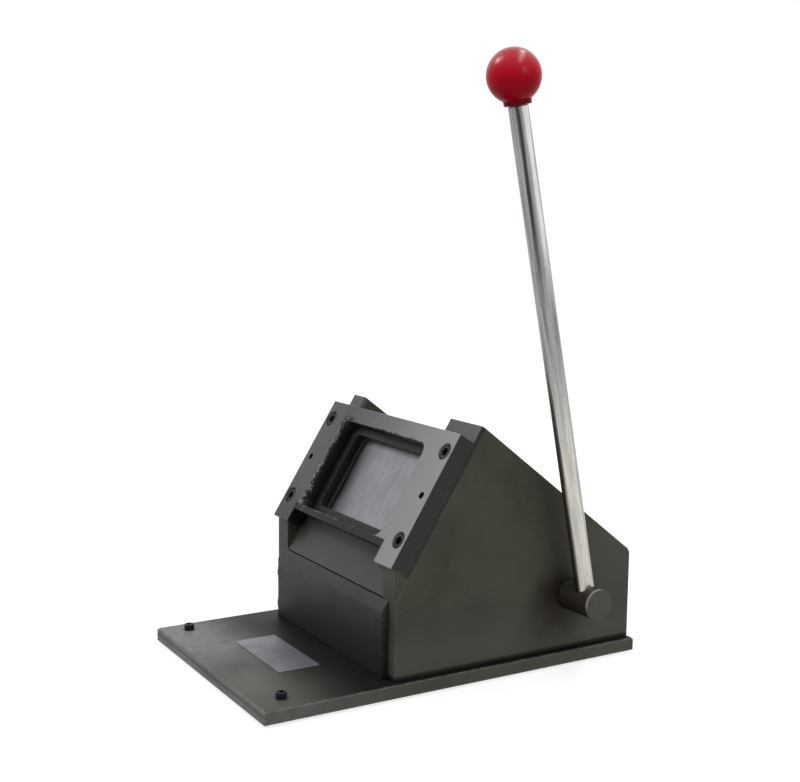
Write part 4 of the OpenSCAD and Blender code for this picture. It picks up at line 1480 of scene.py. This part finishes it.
@dataclass
class Ram(SubAssembly):
    """The punch and the plate that carries it, with its fork and roller pin."""

    body: str = "ram"
    screw_s: tuple[float, ...] = mm(25.8, 61.8)

    def build(self) -> None:
        """Makes the ram's pieces."""
        face = Steel("punch face", "tool_steel", srgb(150, 152, 156), srgb(112, 113, 117), (50, 1, 1), 0.3,
                     pitch=40)
        self.refine("punch", face, 0.08 * MM)
        self.keep(MACHINED, "ram_plate", "ram_fork")
        self.keep(BRONZE, "ram_bushes")
        self.keep(GROUND, "roller_pin", "cam_roller")
        self.keep(BLACK, "pin_clips")
        cap = Screws(ScrewHead.CAP, *mm(6, 18, 9.9, 5.8, 4.9, 3.4))
        seats = SLOPE.seats(33.8 * MM, self.screw_s, 50 * MM, -SLOPE.out)
        self.repeat("punch_screws", cap, seats, BLACK)
        cap = Screws(ScrewHead.CAP, *mm(5, 16, 8.25, 5, 4.1, 3))
        low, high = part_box("cam_roller")
        s = -((low + high) / 2 - SLOPE.top).dot(SLOPE.up)
        seats = SLOPE.seats(22.5 * MM, (s - 13 * MM, s + 13 * MM), 64 * MM, -SLOPE.out)
        self.repeat("fork_screws", cap, seats, BLACK)


@dataclass
class Drive(SubAssembly):
    """The cross shaft with its bushes, cam and collars."""

    body: str = "lever"
    radius: float = 10 * MM
    brown: Colour = srgb(18, 9, 4)
    bright: Colour = srgb(150, 146, 132)

    def rubbed(self, graph: SurfaceGraph) -> Wire:
        """Distance to the shaft's right end rim.

        Args:
            graph: The material's tree.

        Returns:
            The distance in metres.
        """
        x, y, z = graph.split(graph.place)
        gap = graph.span(y - LEVER.foot[1], z - LEVER.foot[2])
        return (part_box("cross_shaft")[1].x - x).most(self.radius - gap)

    def grime(self, graph: SurfaceGraph, colour: Wire) -> Wire:
        """Dark brown dirt with painted shade along the barrel, and a painted highlight arc on the upper rim
        of the shaft's end.

        Args:
            graph: The material's tree.
            colour: The paint so far.

        Returns:
            The toned paint.
        """
        x, y, z = graph.split(graph.place)
        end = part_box("cross_shaft")[1].x - x
        slant = z - y + graph.drift(90, 8 * MM)
        # Painted shade with brown dirt: the barrel is darker than the end, most on its lower half.
        barrel = graph.rise(end, *mm(0.4, 1.4)) * graph.rise(slant, *mm(-25, -39.1), 0.45, 1.0)
        colour = graph.blend(barrel * 0.95, colour, self.brown)
        # Painted highlight: a bright arc on the upper rim of the shaft's end.
        arc = graph.rise(self.rubbed(graph), *mm(1.3, 0.3)) * graph.rise(slant, *mm(-34, -28))
        return graph.blend(arc * 0.8, colour, self.bright)

    def build(self) -> None:
        """Makes the drive's pieces."""
        paint = WornPaint(
            "shaft paint", "side_paint", srgb(78, 75, 67), srgb(68, 64, 57), srgb(124, 121, 112),
            edges=self.rubbed, wear=0.5 * MM, bare=0.4, rough=0.45, tint=self.grime)
        self.refine("cross_shaft", paint, 0.7 * MM)
        self.keep(MACHINED, "cam", "shaft_collars")
        self.keep(GROUND, "cam_key")
        self.keep(BLACK, "cam_set_screw", "collar_screws")
        self.keep(BRONZE, "left_shaft_bush", "right_shaft_bush")


@dataclass
class Lever(SubAssembly):
    """The lever rod with its threaded insert and ball.

    The reach is from the shaft to the ball's middle. The other sizes are radii, except the boss's length
    beyond the ball, the insert's and the bore's lengths, and the play between them.
    """

    body: str = "lever"
    reach: float = 327.6 * MM
    ball: float = 16.2 * MM
    boss: float = 8.2 * MM
    boss_out: float = 0.7 * MM
    rod: float = 6 * MM
    thread: float = 4 * MM
    insert: float = 6 * MM
    insert_length: float = 16 * MM
    bore_length: float = 13 * MM
    play: float = 0.03 * MM

    def turn(self, node: str, outline: Sequence[tuple[float, float]], finish: Finish, sides: int = 72,
             angle: float = 34) -> None:
        """Puts a piece turned about the lever's axis in a CAD node's place.

        Args:
            node: The node.
            outline: Radius and height pairs.
            finish: The piece's finish.
            sides: How many faces go round.
            angle: The crease angle in degrees.
        """
        piece = lathe(f"{node}_fine", outline, LEVER.matrix, sides)
        self.stand_for(smooth(piece, angle), finish, node)

    def build(self) -> None:
        """Makes the rod, the insert and the ball."""
        knob = self.reach - self.ball - self.boss_out
        turned = Steel("turned insert", "machined_steel", srgb(120, 121, 124), srgb(78, 79, 82))
        self.turn("lever_rod", self.rod_outline(knob), PlatedRod("plated rod", "lever_chrome"))
        self.turn("knob_insert", self.insert_outline(knob), turned)
        self.turn("ball_knob", self.ball_outline(knob), GlossBall("red ball", "ball_red"), 96, 50)

    def rod_outline(self, knob: float) -> list[tuple[float, float]]:
        """The rod's outline, with its eased ends and its thread.

        Args:
            knob: The height of the boss's end.

        Returns:
            Radius and height pairs.
        """
        ease, thread_ease = mm(0.4, 0.5)
        foot, end, tip = -5 * MM, knob - 0.3 * MM, knob + 10 * MM
        return [(0, foot), (self.rod - ease, foot), (self.rod, foot + ease), (self.rod, end - ease),
                (self.rod - ease, end), (self.thread, end), (self.thread, tip - thread_ease),
                (self.thread - thread_ease, tip), (0, tip)]

    def insert_outline(self, knob: float) -> list[tuple[float, float]]:
        """The insert's outline, with its bore and eased ends.

        Args:
            knob: The height of the boss's end.

        Returns:
            Radius and height pairs.
        """
        bore, floor, end = self.thread + self.play, knob + self.bore_length, knob + self.insert_length
        inner, outer = mm(4.4, 5.7)
        ease, end_ease = mm(0.3, 0.4)
        return [(0, floor), (bore, floor), (bore, knob + end_ease), (inner, knob), (outer, knob),
                (self.insert, knob + ease), (self.insert, end - ease), (self.insert - end_ease, end),
                (0, end)]

    def ball_outline(self, knob: float) -> list[tuple[float, float]]:
        """The ball's outline, with the seat of the insert and the short boss round it.

        Args:
            knob: The height of the boss's end.

        Returns:
            Radius and height pairs.
        """
        hole, floor = self.insert + self.play, knob + self.insert_length + 0.2 * MM
        outline = [(0, floor), (hole, floor), (hole, knob + 0.3 * MM), (6.3 * MM, knob)]
        for inward, height in (mm(0.5, 0), mm(0.15, 0.15), mm(0, 0.5)):
            outline.append((self.boss - inward, knob + height))
        first = 0.02 - math.acos(self.boss / self.ball)
        for i in range(49):
            turn = first + (math.pi / 2 - first) * i / 48
            outline.append((self.ball * math.cos(turn), self.reach + self.ball * math.sin(turn)))
        outline[-1] = (0, self.reach + self.ball)
        return outline


# ---------------------------------------------------------------- studio


@dataclass
class Studio:
    """A pale floor, soft lamps that are aimed at the press's middle, and the camera."""

    azimuth: float = math.radians(59.103)
    pitch: float = math.radians(7.460)
    roll: float = math.radians(0.667)
    place: Triple = (0.7072, -0.4207, 0.2807)
    lens: float = 57.23
    aim: Vector = field(default_factory=lambda: Vector((0, 0, 0.12)))

    def white(self, tree: Graph) -> Wire:
        """Whether a ray comes from the camera, a gloss or a glass."""
        path = tree.node("ShaderNodeLightPath")
        camera, glossy, clear = (Wire(tree, path.outputs[f"Is {kind} Ray"])
                                 for kind in ("Camera", "Glossy", "Transmission"))
        return camera.most(glossy).most(clear)

    def floor(self) -> None:
        """A wide pale floor that keeps the press's shadow."""
        mesh = bpy.data.meshes.new("floor")
        mesh.from_pydata([(-9, -9, 0), (9, -9, 0), (9, 9, 0), (-9, 9, 0)], [], [(0, 1, 2, 3)])
        piece = shown("floor", mesh)
        graph = SurfaceGraph("pale floor")
        matt = graph.get("ShaderNodeBsdfDiffuse", None, {"Color": srgb(180, 180, 180)})
        soft = graph.get("ShaderNodeBsdfDiffuse", None, {"Color": srgb(160, 160, 160)})
        glow = graph.get("ShaderNodeEmission", None, {"Color": (1.0, 1.0, 1.0), "Strength": 0.76})
        seen = graph.get("ShaderNodeAddShader", None, {0: soft, 1: glow})
        mixed = graph.get("ShaderNodeMixShader", None, {0: self.white(graph), 1: matt, 2: seen})
        graph.node("ShaderNodeOutputMaterial", None, {"Surface": mixed})
        mesh.materials.append(graph.material)
        piece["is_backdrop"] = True

    def sky(self) -> None:
        """An even pale surround: white where it is seen, softer where it lights."""
        world = bpy.data.worlds.new("surround")
        world.use_nodes = True
        bpy.context.scene.world = world
        graph = Graph(world.node_tree)
        fill = graph.get("ShaderNodeBackground", None, {"Color": (1.0, 1.0, 1.0), "Strength": 0.64})
        plain = graph.get("ShaderNodeBackground", None, {"Color": (1.0, 1.0, 1.0), "Strength": 1.0})
        mixed = graph.get("ShaderNodeMixShader", None, {0: self.white(graph), 1: fill, 2: plain})
        graph.node("ShaderNodeOutputWorld", None, {"Surface": mixed})

    def lamp(self, name: str, kind: str, place: Triple, power: float, along: Vector = ACROSS,
             **values: object) -> None:
        """A soft lamp that faces the press.

        Args:
            name: The lamp's name.
            kind: Blender's kind of lamp.
            place: Where it hangs.
            power: Its power.
            along: The direction of its long side.
            **values: The lamp's other settings.
        """
        data = bpy.data.lights.new(name, kind)
        data.energy = power
        for key, value in values.items():
            setattr(data, key, value)
        lamp = bpy.data.objects.new(name, data)
        back = (Vector(place) - self.aim).normalized()
        right = (along - back * along.dot(back)).normalized()
        turn = Matrix((right, back.cross(right), back)).transposed().to_4x4()
        lamp.matrix_world = Matrix.Translation(place) @ turn
        bpy.context.scene.collection.objects.link(lamp)

    def camera(self) -> None:
        """The camera at the photograph's viewing angle."""
        data = bpy.data.cameras.new("view")
        data.lens = self.lens
        data.sensor_fit = "HORIZONTAL"
        data.sensor_width = 36
        data.clip_start, data.clip_end = 0.02, 60
        level, height = math.cos(self.pitch), math.sin(self.pitch)
        back = Vector((math.sin(self.azimuth) * level, -math.cos(self.azimuth) * level, height))
        right = (-back).cross(UP).normalized()
        up = right.cross(-back)
        right, up = (right * math.cos(self.roll) + up * math.sin(self.roll),
                     up * math.cos(self.roll) - right * math.sin(self.roll))
        turn = Matrix((right, up, back)).transposed().to_4x4()
        made = bpy.data.objects.new("view", data)
        made.matrix_world = Matrix.Translation(self.place) @ turn
        bpy.context.scene.collection.objects.link(made)
        bpy.context.scene.camera = made

    def build(self) -> None:
        """Sets up the studio."""
        bpy.context.scene.view_settings.view_transform = "Standard"
        self.floor()
        self.sky()
        sight = Vector((math.sin(self.azimuth), -math.cos(self.azimuth), 0))
        self.lamp("key", "AREA", (-0.95, -1.0, 1.65), 7, shape="DISK", size=0.42)
        self.lamp("sun", "SUN", (-0.9, -1.0, 1.6), 0.4, angle=0.4)
        self.lamp("strip", "AREA", (0.4, 0.45, 1.75), 12, sight, shape="RECTANGLE", size=2.2, size_y=0.26)
        self.lamp("side", "AREA", (1.8, 0.3, 0.9), 3, shape="SQUARE", size=0.5)
        self.camera()


def corners() -> list[list[float]]:
    """The shown object's lowest and highest corners as plain lists."""
    return [list(corner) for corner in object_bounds()]


def main() -> None:
    """Builds the press and its studio."""
    logging.basicConfig(level=logging.INFO, format="%(name)s: %(message)s")
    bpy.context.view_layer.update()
    for part in (Base(), Housing(), DieSet(), Ram(), Drive(), Lever()):
        log.info("building %s", type(part).__name__)
        part.build()
    Studio().build()


if __name__ == "__main__":
    main()
